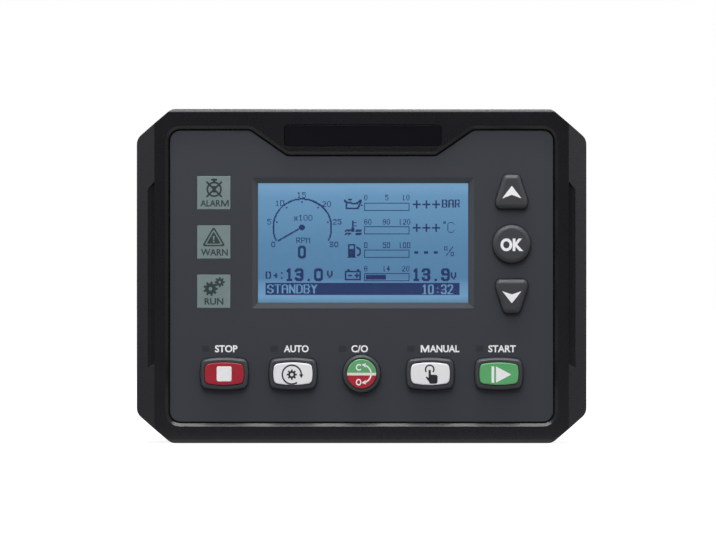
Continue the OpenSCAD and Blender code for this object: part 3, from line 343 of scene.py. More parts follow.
FINISHES["cap_two_colour"] = split_cap_finish(middle("breaker_cap").z)
print("breaker cap middle:", [round(v / MM, 1) for v in middle("breaker_cap")])

# %% [markdown]
# ## Rounded copies of the solids
# A moulding has no sharp edges. Each visible solid is copied, its loose triangles are merged into
# flat faces, and a small bevel rounds the edges. Weighted normals keep the flats looking flat. The
# copy stands for the solid, at the same place, and takes its finish.

# %% Take a node's mesh, merged
MERGE_DISTANCE = 2e-6
FLAT_WITHIN = math.radians(1)


def add_object(name, data):
    obj = bpy.data.objects.new(name, data)
    bpy.context.scene.collection.objects.link(obj)
    return obj


def merged(node, crisp=180):
    """A copy with flat faces, where edges that turn by more than crisp degrees stay crisp."""
    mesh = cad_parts[node].data.copy()
    mesh.materials.clear()
    bm = bmesh.new()
    bm.from_mesh(mesh)
    bmesh.ops.remove_doubles(bm, verts=bm.verts, dist=MERGE_DISTANCE)
    bmesh.ops.dissolve_limit(bm, angle_limit=FLAT_WITHIN, verts=bm.verts, edges=bm.edges)
    for face in bm.faces:
        face.smooth = True
    for edge in bm.edges:
        edge.smooth = edge.calc_face_angle(0) < math.radians(crisp)
    bm.to_mesh(mesh)
    bm.free()
    return mesh


def plain_mesh(obj):
    """Swaps an object's mesh for what its modifiers make of it."""
    bpy.context.view_layer.update()
    evaluated = obj.evaluated_get(bpy.context.evaluated_depsgraph_get())
    result = bpy.data.meshes.new_from_object(evaluated)
    obj.modifiers.clear()
    obj.data = result
    return obj


def place(obj, body, slot, finish_name=None, ink=None):
    """Gives a finished piece its look and lets it ride on a body."""
    obj.data.materials.clear()
    obj.data.materials.append(INKS[ink] if ink else FINISHES[finish_name or slot])
    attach(obj, body)
    return obj


def rounded(node, width_mm, angle=35, segments=2, crisp=180):
    """A copy of a node with its edges rounded; angle is the least turn of an edge that is rounded."""
    obj = add_object("shell_" + node, merged(node, crisp))
    bevel = obj.modifiers.new("edges", "BEVEL")
    bevel.width = width_mm * MM
    bevel.segments = segments
    bevel.limit_method = "ANGLE"
    bevel.angle_limit = math.radians(angle)
    normals = obj.modifiers.new("flats", "WEIGHTED_NORMAL")
    normals.weight = 60
    normals.keep_sharp = True
    return plain_mesh(obj)


print("face panel, merged:", len(merged("face_panel").polygons), "faces")

# %% The front: bezel, name plate, face and lamp tiles
FRONT = [
    ("front_bezel", 0.8, "bezel_black", 4), ("blank_name_plate", 0.35, "name_plate_black", 2),
    ("face_panel", 0.3, "face_grey", 2), ("alarm_lens", 0.2, "lens_grey", 2),
    ("warning_lens", 0.2, "lens_grey", 2), ("running_lens", 0.2, "lens_grey", 2),
    ("status_light_pipes", 0.15, "light_pipe_grey", 2), ("panel_gasket", 0.3, "gasket_rubber", 2),
]
FRONT_CRISP = 16
for node, width, slot, segments in FRONT:
    shell = place(rounded(node, width, segments=segments, crisp=FRONT_CRISP), "controller", slot)
    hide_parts(node)
    print(node, len(shell.data.polygons), "faces")

# %% [markdown]
# ## The slope round the display
# The face slopes down to the window in a soft, shallow sweep. The solid has it as four flat slopes, and
# these catch the light from above too hard. Their normals are turned part of the way to the front, so
# that they are shaded as the softer sweep, while the mesh keeps its shape. The slope's faces also take a
# second material, the face grey made a shade lighter: painted light that brightens the slopes.

# %% Softer shading on the slope
SLOPE_TURN = 0.6
SLOPE_ROOM = 3 * MM
LEAST_FACING, MOST_FACING = 0.2, 0.97
TO_FRONT = Vector((0, -1, 0))
panel = bpy.data.objects["shell_face_panel"].data
window_low, window_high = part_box("display_window")
corner_normals = [corner.vector.copy() for corner in panel.corner_normals]
# The slopes get the lighter grey: painted light on them.
panel.materials.append(FINISHES["slope_painted_light_grey"])
slopes = 0
for face in panel.polygons:
    in_width = window_low.x - SLOPE_ROOM < face.center.x < window_high.x + SLOPE_ROOM
    in_height = window_low.z - SLOPE_ROOM < face.center.z < window_high.z + SLOPE_ROOM
    if in_width and in_height and LEAST_FACING < -face.normal.y < MOST_FACING:
        face.material_index = 1
        for corner in face.loop_indices:
            corner_normals[corner] = corner_normals[corner].lerp(TO_FRONT, SLOPE_TURN).normalized()
        slopes += 1
panel.normals_split_custom_set(corner_normals)
print("slope faces:", slopes)

# %% [markdown]
# ## Keys
# The keys are soft-edged mouldings. Their solids already step round the edge, so smooth normals are
# enough there, and a narrow bevel breaks the rim of the pocket that holds each cap.

# %% Keys and caps
KEYS = ["stop", "auto", "breaker", "manual", "start", "up", "ok", "down"]
CAP_SLOTS = {"stop": "cap_red", "auto": "cap_white", "breaker": "cap_white", "manual": "cap_white",
             "start": "cap_green"}
KEY_EDGE, KEY_ANGLE = 0.12, 48
CAP_EDGE, CAP_ANGLE = 0.1, 60
for key in KEYS:
    body = key + "_button"
    shell = place(rounded(key + "_key", KEY_EDGE, KEY_ANGLE), body, "key_grey")
    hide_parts(key + "_key")
    if key in CAP_SLOTS:
        look = "cap_two_colour" if key == "breaker" else CAP_SLOTS[key]
        cap = place(rounded(key + "_cap", CAP_EDGE, CAP_ANGLE), body, CAP_SLOTS[key], look)
        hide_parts(key + "_cap")
    print(key, "key at", [round(v / MM, 1) for v in middle(key + "_key")])

# %% [markdown]
# ## Printed signs
# A sign is a flat outline with a very small thickness, lying on the surface that carries it. A filled
# 2-D curve makes a clean face from any outline, holes included. It becomes a mesh first, is then set
# in place, and is thickened last.

# %% From a flat curve to a printed film
FILM = 0.03
JOIN_DISTANCE = 1e-7


def flat_mesh(curve):
    """The faces of a filled curve, as a mesh in the curve's own plane."""
    obj = add_object("flat", curve)
    bpy.context.view_layer.update()
    evaluated = obj.evaluated_get(bpy.context.evaluated_depsgraph_get())
    mesh = bpy.data.meshes.new_from_object(evaluated)
    bpy.data.objects.remove(obj)
    return mesh


def outline_mesh(loops):
    """Fills loops of (x, z) points in millimetres; inner loops are holes."""
    curve = bpy.data.curves.new("outline", "CURVE")
    curve.dimensions = "2D"
    curve.fill_mode = "BOTH"
    for loop in loops:
        spline = curve.splines.new("POLY")
        spline.points.add(len(loop) - 1)
        for point, (x, z) in zip(spline.points, loop):
            point.co = (x * MM, z * MM, 0, 1)
        spline.use_cyclic_u = True
    return flat_mesh(curve)


def film(name, flats, surface_y):
    """Joins flat meshes into one thin film whose back lies on the surface."""
    bm = bmesh.new()
    for flat in flats:
        bm.from_mesh(flat)
        bpy.data.meshes.remove(flat)
    bmesh.ops.remove_doubles(bm, verts=bm.verts, dist=JOIN_DISTANCE)
    upright = Matrix.Rotation(math.radians(90), 4, "X")
    bmesh.ops.transform(bm, matrix=Matrix.Translation((0, surface_y, 0)) @ upright, verts=bm.verts)
    grown = bmesh.ops.extrude_face_region(bm, geom=bm.faces[:])
    fronts = [v for v in grown["geom"] if isinstance(v, bmesh.types.BMVert)]
    bmesh.ops.translate(bm, vec=(0, -FILM * MM, 0), verts=fronts)
    bmesh.ops.recalc_face_normals(bm, faces=bm.faces[:])
    mesh = bpy.data.meshes.new(name)
    bm.to_mesh(mesh)
    bm.free()
    mesh.shade_flat()
    return add_object(name, mesh)


print("film thickness:", FILM, "mm")

# %% Outlines for the signs
def on_circle(x, z, radius, angle):
    return (x + radius * math.cos(angle), z + radius * math.sin(angle))


def circle(x, z, radius, steps=48):
    turn = 2 * math.pi / steps
    return [on_circle(x, z, radius, i * turn) for i in range(steps)]


def arc_stroke(x, z, radius, start, end, stroke, steps=48):
    """A band of even width along an arc, with angles in degrees."""
    angles = [math.radians(start + (end - start) * i / steps) for i in range(steps + 1)]
    outer = [on_circle(x, z, radius + stroke / 2, a) for a in angles]
    inner = [on_circle(x, z, radius - stroke / 2, a) for a in angles]
    return outer + inner[::-1]


def bar_stroke(x0, z0, x1, z1, stroke):
    """A straight band between two points."""
    run = Vector((x1 - x0, z1 - z0)).normalized()
    dx, dz = -run.y * stroke / 2, run.x * stroke / 2
    return [(x0 + dx, z0 + dz), (x0 - dx, z0 - dz), (x1 - dx, z1 - dz), (x1 + dx, z1 + dz)]


def gear(x, z, radius, teeth, depth):
    """A toothed wheel with flat-topped teeth."""
    points = []
    for i in range(teeth):
        for share, r in ((-0.30, radius - depth), (-0.20, radius), (0.20, radius), (0.30, radius - depth)):
            a = 2 * math.pi * (i + share) / teeth
            points.append(on_circle(x, z, r, a))
    return points


def softened(points, radius, steps=5):
    """Rounds every corner of an outline, as far as its sides allow."""
    result = []
    count = len(points)
    for i in range(count):
        corner = Vector(points[i])
        before = Vector(points[i - 1]) - corner
        after = Vector(points[(i + 1) % count]) - corner
        reach = min(radius, before.length * 0.45, after.length * 0.45)
        first = corner + before.normalized() * reach
        last = corner + after.normalized() * reach
        for k in range(steps + 1):
            t = k / steps
            result.append(tuple(first * (1 - t) ** 2 + corner * 2 * t * (1 - t) + last * t ** 2))
    return result


def moved(loop, x, z):
    return [(px + x, pz + z) for px, pz in loop]


print("gear outline:", len(gear(0, 0, 3, 8, 0.7)), "points")

# %% Lettering
def word(text, x, z, width, height, weight=0.0):
    """A word filled to a measured width and height, centred on (x, z)."""
    curve = bpy.data.curves.new("word", "FONT")
    curve.body = text
    curve.offset = weight
    curve.resolution_u = 4
    mesh = flat_mesh(curve)
    xs = [v.co.x for v in mesh.vertices]
    ys = [v.co.y for v in mesh.vertices]
    centre = Vector(((min(xs) + max(xs)) / 2, (min(ys) + max(ys)) / 2, 0))
    stretch = Matrix.Diagonal((width * MM / (max(xs) - min(xs)), height * MM / (max(ys) - min(ys)), 1, 1))
    mesh.transform(Matrix.Translation((x * MM, z * MM, 0)) @ stretch @ Matrix.Translation(-centre))
    return mesh


def letter_m(x, z, width, height, stroke):
    """The letter M as an outline: two posts and a valley between them."""
    half, top, foot = width / 2, height / 2, -height / 2
    right = [(0.4 * stroke, foot), (half - stroke, top - 1.9 * stroke), (half - stroke, foot), (half, foot),
             (half, top), (half - 1.25 * stroke, top)]
    left = [(-px, pz) for px, pz in reversed(right)]
    return moved(right + [(0, foot + 1.7 * stroke)] + left, x, z)


def lettering(text, x, z, width, height, weight):
    """A word in which an M at the start or the end, too fine for a bold fill, has its own outline."""
    if "M" not in text:
        return [word(text, x, z, width, height, weight)]
    m_width, space = 1.2 * height, 0.06 * height
    side = -1 if text.startswith("M") else 1
    m_loop = letter_m(x + side * (width - m_width) / 2, z, m_width, height, height * (0.13 + 2.5 * weight))
    rest = word(text.strip("M"), x - side * (m_width + space) / 2, z, width - m_width - space, height, weight)
    return [outline_mesh([m_loop]), rest]


print("letters in STOP:", len(word("STOP", 0, 0, 10.9, 3.4).polygons), "faces")

# %% [markdown]
# ## Signs on the command keys
# Each cap carries the usual sign for its task: a square for stop, a turning arrow round a gear for
# automatic running, an opening and a closing arrow for the breaker, a pressing hand for manual running
# and a barred triangle for start. The signs ride with their key.

# %% Signs on the caps
CAP_WEIGHT = 0.03


def on_cap(key, name, groups, ink, words=()):
    centre = middle(key + "_cap") / MM
    flats = [outline_mesh([moved(loop, centre.x, centre.z) for loop in loops]) for loops in groups]
    flats += [word(text, centre.x + x, centre.z + z, w, h, CAP_WEIGHT) for text, x, z, w, h in words]
    obj = film(name, flats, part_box(key + "_cap")[0].y)
    place(obj, key + "_button", "cap_white" if ink == "white_ink" else "chip_black", ink=ink)
    print(name, len(obj.data.polygons), "faces")


on_cap("stop", "sign_stop", [[softened([(-3.5, -3.5), (3.4, -3.5), (3.4, 3.5), (-3.5, 3.5)], 0.9)]],
       "white_ink")
ring_x, ring_z, ring_r = -0.5, -0.37, 4.4
arrow_tip = [(ring_x + ring_r - 1.0, ring_z + 0.1), (ring_x + ring_r + 1.0, ring_z + 0.1),
             (ring_x + ring_r, ring_z - 1.7)]
on_cap("auto", "sign_auto", [
    [arc_stroke(ring_x, ring_z, ring_r, 0, 303, 0.7)], [arrow_tip],
    [gear(ring_x, ring_z, 2.4, 8, 0.7), circle(ring_x, ring_z, 0.8, 24)],
], "dark_ink")
breaker_heads = []
for side in (1, -1):
    bx, bz = 0.2 + 4.2 * math.cos(math.radians(70)), side * 4.2 * math.sin(math.radians(70))
    breaker_heads.append([[(bx + 0.3, bz - 1.05), (bx + 0.3, bz + 1.05), (bx - 1.7, bz + side * 0.25)]])
on_cap("breaker", "sign_breaker", [
    [arc_stroke(0.2, 0, 4.2, 70, 9, 0.65, 24)], [arc_stroke(0.2, 0, 4.2, -9, -70, 0.65, 24)], *breaker_heads,
], "white_ink", [("C", -1.5, 3.0, 2.4, 3.1), ("O", -1.4, -3.9, 2.6, 3.1)])
hand = softened([
    (-0.80, 1.86), (0.22, 1.86), (0.22, -0.39), (2.78, -0.47), (3.44, -1.05), (3.36, -3.96), (2.78, -4.62),
    (-0.13, -4.62), (-0.71, -3.57), (-2.19, -1.63), (-1.76, -1.17), (-0.80, -1.94)], 0.45)
on_cap("manual", "sign_manual", [[hand], [arc_stroke(-0.3, 2.06, 1.95, -38, 218, 0.65, 36)]], "dark_ink")
start_bar = [(-3.5, -4.15), (-2.25, -4.15), (-2.25, 3.45), (-3.5, 3.45)]
start_arrow = softened([(-1.4, -4.15), (5.7, -0.35), (-1.4, 3.45)], 0.35)
on_cap("start", "sign_start", [[start_bar], [start_arrow]], "white_ink")

# %% Signs on the navigation keys
def on_key(key, name, flats):
    obj = film(name, flats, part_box(key + "_key")[0].y)
    place(obj, key + "_button", "cap_white", ink="white_ink")
    print(name, len(obj.data.polygons), "faces")


up, down, enter = (middle(key + "_key") / MM for key in ("up", "down", "ok"))
chevron_up = [(-4.5, -3.2), (0, -1.5), (4.5, -3.2), (0, 2.7)]
chevron_down = [(-4.5, 2.4), (0, -3.3), (4.5, 2.4), (0, 0.85)]
on_key("up", "sign_up", [outline_mesh([moved(softened(chevron_up, 0.25), up.x, up.z)])])
on_key("down", "sign_down", [outline_mesh([moved(softened(chevron_down, 0.25), down.x, down.z)])])
on_key("ok", "sign_ok", [word("OK", enter.x, enter.z - 0.4, 10.6, 6.0, 0.045)])

# %% Words beside the status lights
face_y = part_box("face_panel")[0].y
LABELS = [("stop", "STOP", -4.4, 10.5), ("auto", "AUTO", -4.3, 11.6), ("breaker", "C/O", -4.8, 7.8),
          ("manual", "MANUAL", -4.4, 18.0), ("start", "START", -4.85, 12.8)]
LABEL_RISE, LABEL_HEIGHT, LABEL_WEIGHT = 11.6, 3.35, 0.028
label_flats = []
for key, text, start, width in LABELS:
    centre = middle(key + "_key") / MM
    x, z = centre.x + start + width / 2, centre.z + LABEL_RISE
    label_flats += lettering(text, x, z, width, LABEL_HEIGHT, LABEL_WEIGHT)
place(film("key_labels", label_flats, face_y), "controller", "cap_white", ink="white_ink")
print("labels:", ", ".join(row[1] for row in LABELS))

# %% [markdown]
# ## Windows over the status lights
# The face's printed film runs on over the five light pipes and leaves a smoky window for each. Unlit,
# such a window is hardly darker than the face.

# %% Status light windows
LIGHT_SHIFT = 8.85
LIGHT_WINDOW = softened([(-1.8, -1.4), (1.8, -1.4), (1.8, 1.4), (-1.8, 1.4)], 0.4)
windows = []
for row in LABELS:
    centre = middle(row[0] + "_key") / MM
    windows.append(outline_mesh([moved(LIGHT_WINDOW, centre.x - LIGHT_SHIFT, centre.z + LABEL_RISE)]))
place(film("light_windows", windows, face_y), "controller", "light_pipe_grey")
print("light windows:", len(LABELS))

# %% [markdown]
# ## Signs on the lamp tiles
# The three tiles light up for an alarm, a warning and a running engine. Unlit, they are grey with
# dark line signs: a crossed-out bell push, a warning triangle and a pair of gears.

# %% Lamp signs
LAMP_WEIGHT = 0.022


def on_lens(node, name, groups, text, text_place, text_size):
    centre = middle(node) / MM
    flats = [outline_mesh([moved(loop, centre.x, centre.z) for loop in loops]) for loops in groups]
    x, z = centre.x + text_place[0], centre.z + text_place[1]
    flats += lettering(text, x, z, *text_size, LAMP_WEIGHT)
    place(film(name, flats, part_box(node)[0].y), "controller", "lens_grey", ink="lamp_ink")
    print(name, "on", node)


on_lens("alarm_lens", "sign_alarm", [
    [circle(0.2, 1.6, 3.6), circle(0.2, 1.6, 2.75)],
    [bar_stroke(-3.4, -2.0, 3.8, 5.2, 0.85)], [bar_stroke(-3.4, 5.2, 3.8, -2.0, 0.85)],
    [bar_stroke(0.2, 4.9, 0.2, 6.1, 0.9)], [bar_stroke(-1.2, 6.1, 1.6, 6.1, 0.9)],
    [bar_stroke(-0.9, 2.7, 1.3, 2.7, 0.8)], [bar_stroke(-0.9, 0.5, 1.3, 0.5, 0.8)],
], "ALARM", (0.4, -4.9), (13.3, 3.0))
on_lens("warning_lens", "sign_warning", [
    [softened([(-5.5, -1.95), (5.5, -1.95), (0, 7.4)], 1.6),
     softened([(-4.3, -1.3), (4.3, -1.3), (0, 6.0)], 1.1)],
    [softened([(-3.3, -0.75), (3.3, -0.75), (0, 4.9)], 0.7),
     [(-0.5, 2.9), (0.5, 2.9), (0.3, 1.0), (-0.3, 1.0)], circle(0, 0.25, 0.45, 20)],
], "WARN", (0.3, -4.8), (12.6, 3.1))
on_lens("running_lens", "sign_running", [
    [gear(-1.5, 1.2, 3.4, 9, 0.85), circle(-1.5, 1.2, 0.85, 24)],
    [gear(2.8, 4.3, 2.4, 8, 0.65), circle(2.8, 4.3, 0.6, 24)],
], "RUN", (0.1, -4.7), (8.8, 3.1))

# %% [markdown]
# ## The picture on the display
# The panel shows 240 x 128 dots. Lines, arcs and letters are drawn on that grid by rule, as the
# controller's own program does. The letters are pen strokes on a small grid: each pair of digits is a
# column and a row, so one set of strokes serves every size.

# %% Drawing on the dot grid
lit_dots = set()


def pen(x, y, nib=1, erase=False):
    wide, tall = nib if isinstance(nib, tuple) else (nib, nib)
    for dx in range(wide):
        for dy in range(tall):
            spot = (int(round(x)) + dx, int(round(y)) + dy)
            if erase:
                lit_dots.discard(spot)
            elif 0 <= spot[0] < DOT_COLUMNS and 0 <= spot[1] < DOT_ROWS:
                lit_dots.add(spot)


def draw_line(x0, y0, x1, y1, nib=1, erase=False):
    steps = max(1, int(max(abs(x1 - x0), abs(y1 - y0)) * 2))
    for k in range(steps + 1):
        pen(x0 + (x1 - x0) * k / steps, y0 + (y1 - y0) * k / steps, nib, erase)


def draw_path(points, nib=1, erase=False):
    for (x0, y0), (x1, y1) in zip(points, points[1:]):
        draw_line(x0, y0, x1, y1, nib, erase)


def draw_box(x0, y0, x1, y1):
    draw_path([(x0, y0), (x1, y0), (x1, y1), (x0, y1), (x0, y0)])


def draw_block(x0, y0, x1, y1, erase=False):
    for y in range(y0, y1 + 1):
        draw_line(x0, y, x1, y, 1, erase)


STROKES = {
    "0": "103041453616050110", "1": "112026 1636", "2": "01103041420646", "3": "01103041423313 334445361605",
    "4": "36300444", "5": "400002324345361605", "6": "4130100105163645443303",
    "8": "103041423313020110 3344453616050413", "9": "4313020110304145361605", "A": "060110304146 0343",
    "B": "00063645443303 0030414233", "C": "4130100105163645", "D": "00063645413000", "M": "0600224046",
    "N": "06004640", "P": "06003041423303", "R": "06003041423303 2346", "S": "413010010213334445361605",
    "T": "0040 2026", "V": "0003264340", "Y": "002340 2326", "x": "0246 4206",
    ".": "2626", ":": "2222 2525",
}


def draw_words(text, x, y, width=4, height=6, gap=2, nib=1, erase=False):
    """Draws text with its middle at (x, y)."""
    x = math.floor(x - (len(text) * (width + gap) - gap) / 2)
    y = math.floor(y - height / 2)
    for letter in text:
        for path in STROKES[letter].split():
            points = [(int(path[i]), int(path[i + 1])) for i in range(0, len(path), 2)]
            draw_path([(x + px * width / 4, y + py * height / 6) for px, py in points], nib, erase)
        x += width + gap


print("letters known:", len(STROKES))

# %% The speed gauge
gauge_x, gauge_y, gauge_r = 44.5, 43.4, 36
GAUGE_START, GAUGE_SWEEP, GAUGE_STEPS = 206, 232, 6
HUB = 3.2
POINTER_X, POINTER_Y = 15.4, 60
GAUGE_WORDS = [("0", 9, 64), ("5", 4, 36), ("10", 17.5, 13), ("15", 44, 3), ("20", 75.5, 14),
               ("25", 88, 36), ("30", 84, 64), ("x100", 46, 31), ("RPM", 46, 59)]


def on_gauge(angle, radius):
    turn = math.radians(angle)
    return (gauge_x + radius * math.cos(turn), gauge_y - radius * math.sin(turn))


draw_path([on_gauge(a, gauge_r) for a in range(GAUGE_START - GAUGE_SWEEP, GAUGE_START + 1, 2)], (2, 1))
draw_path([on_gauge(a, gauge_r) for a in range(36, 145, 2)], (1, 2))
for i in range(1, GAUGE_STEPS):
    pen(*on_gauge(GAUGE_START - GAUGE_SWEEP * i / GAUGE_STEPS, gauge_r - 4), 2)
for row in range(-3, 4):
    half = math.sqrt(max(0, HUB ** 2 - row ** 2))
    draw_line(gauge_x - half, gauge_y + row, gauge_x + half, gauge_y + row)
draw_line(gauge_x, gauge_y, POINTER_X, POINTER_Y)
draw_line(gauge_x, gauge_y - 1, POINTER_X, POINTER_Y - 1)
for text, x, y in GAUGE_WORDS:
    draw_words(text, x, y)
draw_words("0", 44, 73, 7, 13, 2, 3)
print("dots so far:", len(lit_dots))

# %% The bars and their signs
BAR_ROWS = [(13, 22, 6, ("0", "5", "10"), 173), (42, 51, 36, ("60", "90", "120"), 172),
            (71, 80, 65.6, ("0", "50", "100"), 172), (100, 109, 94.4, ("8", "14", "20"), 173)]
BAR_LEFT, BAR_MIDDLE, BAR_RIGHT = 122, 149.5, 177
for top, bottom, text_y, labels, last_x in BAR_ROWS:
    draw_box(BAR_LEFT, top, BAR_RIGHT, bottom)
    for x, text in zip((BAR_LEFT + 2 * len(labels[0]), BAR_MIDDLE, last_x), labels):
        draw_words(text, x, text_y, 3, 6)
draw_block(124, 102, 148, 107)
# Oil can
draw_path([(97, 9), (99, 12), (99, 19), (113, 19), (117, 10)], 2)
draw_path([(99, 11), (103, 12), (107, 13), (111, 13), (117, 9)], 2)
draw_line(102, 8, 106, 8, (1, 2))
draw_line(104, 9, 104, 11)
pen(118, 15, 2)
# Thermometer in water
draw_block(107, 35, 108, 46)
draw_block(106, 44, 109, 48)
for y in (37, 41):
    draw_line(109, y, 112, y)
for start in (98, 111):
    draw_path([(start, 47), (start + 2, 46), (start + 4, 47), (start + 6, 46)], 2)
    draw_path([(start, 51), (start + 2, 50), (start + 4, 51), (start + 6, 50)], 2)
# Fuel pump
draw_block(102, 64, 110, 79)
draw_block(104, 66, 108, 69, erase=True)
draw_line(101, 80, 111, 80)
draw_path([(112, 67), (116, 70), (116, 75), (113, 77)], 2)
# Battery
draw_path([(98, 97), (116, 97), (116, 107), (98, 107), (98, 97)], 2)
draw_block(101, 95, 103, 96)
draw_block(113, 95, 115, 96)
draw_line(102, 102, 105, 102, 2)
draw_line(110, 102, 114, 102, 2)
draw_line(112, 100, 112, 104, 2)
print("dots so far:", len(lit_dots))

# %% The values and the status line
for x in (186, 198, 210):
    for y in (14, 43):
        draw_line(x - 4, y, x + 4, y, 2)
        draw_line(x, y - 4, x, y + 4, 2)
    draw_block(x - 2, 73, x + 2, 75)
draw_words("BAR", 229, 14, 5, 9, 3, (2, 1))
draw_box(220, 36, 222, 38)
draw_words("C", 229, 43, 8, 12)
draw_line(231, 67, 223, 78)
draw_box(221, 67, 224, 71)
draw_box(229, 74, 232, 78)
draw_words("D", 3, 102, 5, 8, 2, (2, 1))
draw_line(10, 102, 14, 102, (1, 2))
draw_line(12, 100, 12, 105, (2, 1))
for y in (99, 105):
    pen(19, y, 2)
for x, y in ((79, 101.5), (232, 103)):
    draw_words("V", x, y, 5, 8, 2, (2, 1))
for text, x in (("13.0", 47), ("13.9", 204)):
    draw_words(text, x - 1, 101, 8, 13, 4, 3)
draw_block(0, 112, 239, 126)
draw_words("STANDBY", 32, 119, 6, 10, 3, (2, 1), erase=True)
draw_words("10:32", 212, 119.5, 5, 11, 3, (2, 1), erase=True)
print("dots in the picture:", len(lit_dots))

# %% [markdown]
# ## From dots to ink
# Thousands of equal squares are a job for Geometry Nodes. The drawn dots become a cloud of points on
# the glass, and a node tree puts a small square on each of them. The square is a little smaller than
# the pitch, so the dot grid stays visible from close by.

# %% A node tree that puts a square on every point
def node_group(name, sizes):
    """A geometry tree with one named input per size, in metres or as a count."""
    tree = bpy.data.node_groups.new(name, "GeometryNodeTree")
    tree.interface.new_socket("Geometry", in_out="INPUT", socket_type="NodeSocketGeometry")
    for label, value in sizes.items():
        kind = "NodeSocketInt" if isinstance(value, int) else "NodeSocketFloat"
        socket = tree.interface.new_socket(label, in_out="INPUT", socket_type=kind)
        socket.default_value = value
    tree.interface.new_socket("Geometry", in_out="OUTPUT", socket_type="NodeSocketGeometry")
    return tree, tree.nodes.new("NodeGroupInput"), tree.nodes.new("NodeGroupOutput")


def close_tree(tree, instances, output, material):
    """Ends a tree in real geometry with its material."""
    real = tree.nodes.new("GeometryNodeRealizeInstances")
    painted = tree.nodes.new("GeometryNodeSetMaterial")
    painted.inputs["Material"].default_value = material
    tree.links.new(instances, real.inputs[0])
    tree.links.new(real.outputs[0], painted.inputs["Geometry"])
    tree.links.new(painted.outputs[0], output.inputs[0])


def run_tree(name, mesh, tree, sizes):
    """Applies a tree to a mesh with its sizes set by socket identifier."""
    obj = add_object(name, mesh)
    modifier = obj.modifiers.new("tree", "NODES")
    modifier.node_group = tree
    for item in tree.interface.items_tree:
        if item.in_out == "INPUT" and item.name in sizes:
            modifier[item.identifier] = sizes[item.name]
    return plain_mesh(obj)


def dot_tree():
    tree, start, output = node_group("display_dots", {"Dot Side": 0.00035})
    square = tree.nodes.new("GeometryNodeMeshGrid")
    square.inputs["Vertices X"].default_value = 2
    square.inputs["Vertices Y"].default_value = 2
    tree.links.new(start.outputs["Dot Side"], square.inputs["Size X"])
    tree.links.new(start.outputs["Dot Side"], square.inputs["Size Y"])
    upright = tree.nodes.new("GeometryNodeTransform")
    upright.inputs["Rotation"].default_value = (math.radians(90), 0, 0)
    tree.links.new(square.outputs["Mesh"], upright.inputs["Geometry"])
    spread_out = tree.nodes.new("GeometryNodeInstanceOnPoints")
    tree.links.new(start.outputs["Geometry"], spread_out.inputs["Points"])
    tree.links.new(upright.outputs[0], spread_out.inputs["Instance"])
    close_tree(tree, spread_out.outputs["Instances"], output, INKS["crystal_ink"])
    return tree


DOT_LIFT, DOT_SHARE = 0.02, 0.96
glass_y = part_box("display_glass")[0].y
left = DOT_MIDDLE.x - DOT_COLUMNS * DOT_PITCH / 2
top = DOT_MIDDLE.y + DOT_ROWS * DOT_PITCH / 2
cloud = bpy.data.meshes.new("dot_points")
cloud.from_pydata([
    ((left + (x + 0.5) * DOT_PITCH) * MM, glass_y - DOT_LIFT * MM, (top - (y + 0.5) * DOT_PITCH) * MM)
    for x, y in sorted(lit_dots)
], [], [])
picture = run_tree("display_picture", cloud, dot_tree(), {"Dot Side": DOT_PITCH * DOT_SHARE * MM})
place(picture, "controller", "display_blue", ink="crystal_ink")
print("display squares:", len(picture.data.polygons))

# %% [markdown]
# ## The back
# Behind the door only a few things show: the housing with its vents, four green terminal plugs with
# their wire screws, and the data socket. The plugs of such units have a rib between every two ways,
# so that the fingers find the screws. A second tree sets these ribs along a line.

# %% Housing, plugs and socket
BACK = [
    ("rear_housing", 0.5, "housing_black", 35), ("power_plug", 0.25, "terminal_green", 35),
    ("output_plug", 0.25, "terminal_green", 35), ("input_plug", 0.25, "terminal_green", 35),
    ("sensing_plug", 0.25, "terminal_green", 35), ("data_socket", 0.12, "socket_steel", 35),
    ("housing_screws", 0.1, "screw_steel", 40), ("terminal_screws", 0.08, "screw_steel", 40),
]
for node, width, slot, angle in BACK:
    shell = place(rounded(node, width, angle), "controller", slot)
    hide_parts(node)
    print(node, len(shell.data.polygons), "faces")

# %% Ribs between the ways of each plug
def rib_tree():
    tree, start, output = node_group("plug_ribs", {
        "Ribs": 7, "Pitch": 0.00508, "Rib Width": 0.0006, "Rib Depth": 0.007, "Rib Height": 0.0008,
    })
    line = tree.nodes.new("GeometryNodeMeshLine")
    tree.links.new(start.outputs["Ribs"], line.inputs["Count"])
    step = tree.nodes.new("ShaderNodeCombineXYZ")
    tree.links.new(start.outputs["Pitch"], step.inputs["X"])
    tree.links.new(step.outputs[0], line.inputs["Offset"])
    size = tree.nodes.new("ShaderNodeCombineXYZ")
    for axis, label in zip("XYZ", ("Rib Width", "Rib Depth", "Rib Height")):
        tree.links.new(start.outputs[label], size.inputs[axis])
    rib = tree.nodes.new("GeometryNodeMeshCube")
    tree.links.new(size.outputs[0], rib.inputs["Size"])
    spread_out = tree.nodes.new("GeometryNodeInstanceOnPoints")
    tree.links.new(line.outputs["Mesh"], spread_out.inputs["Points"])
    tree.links.new(rib.outputs["Mesh"], spread_out.inputs["Instance"])
    close_tree(tree, spread_out.outputs["Instances"], output, FINISHES["terminal_green"])
    return tree


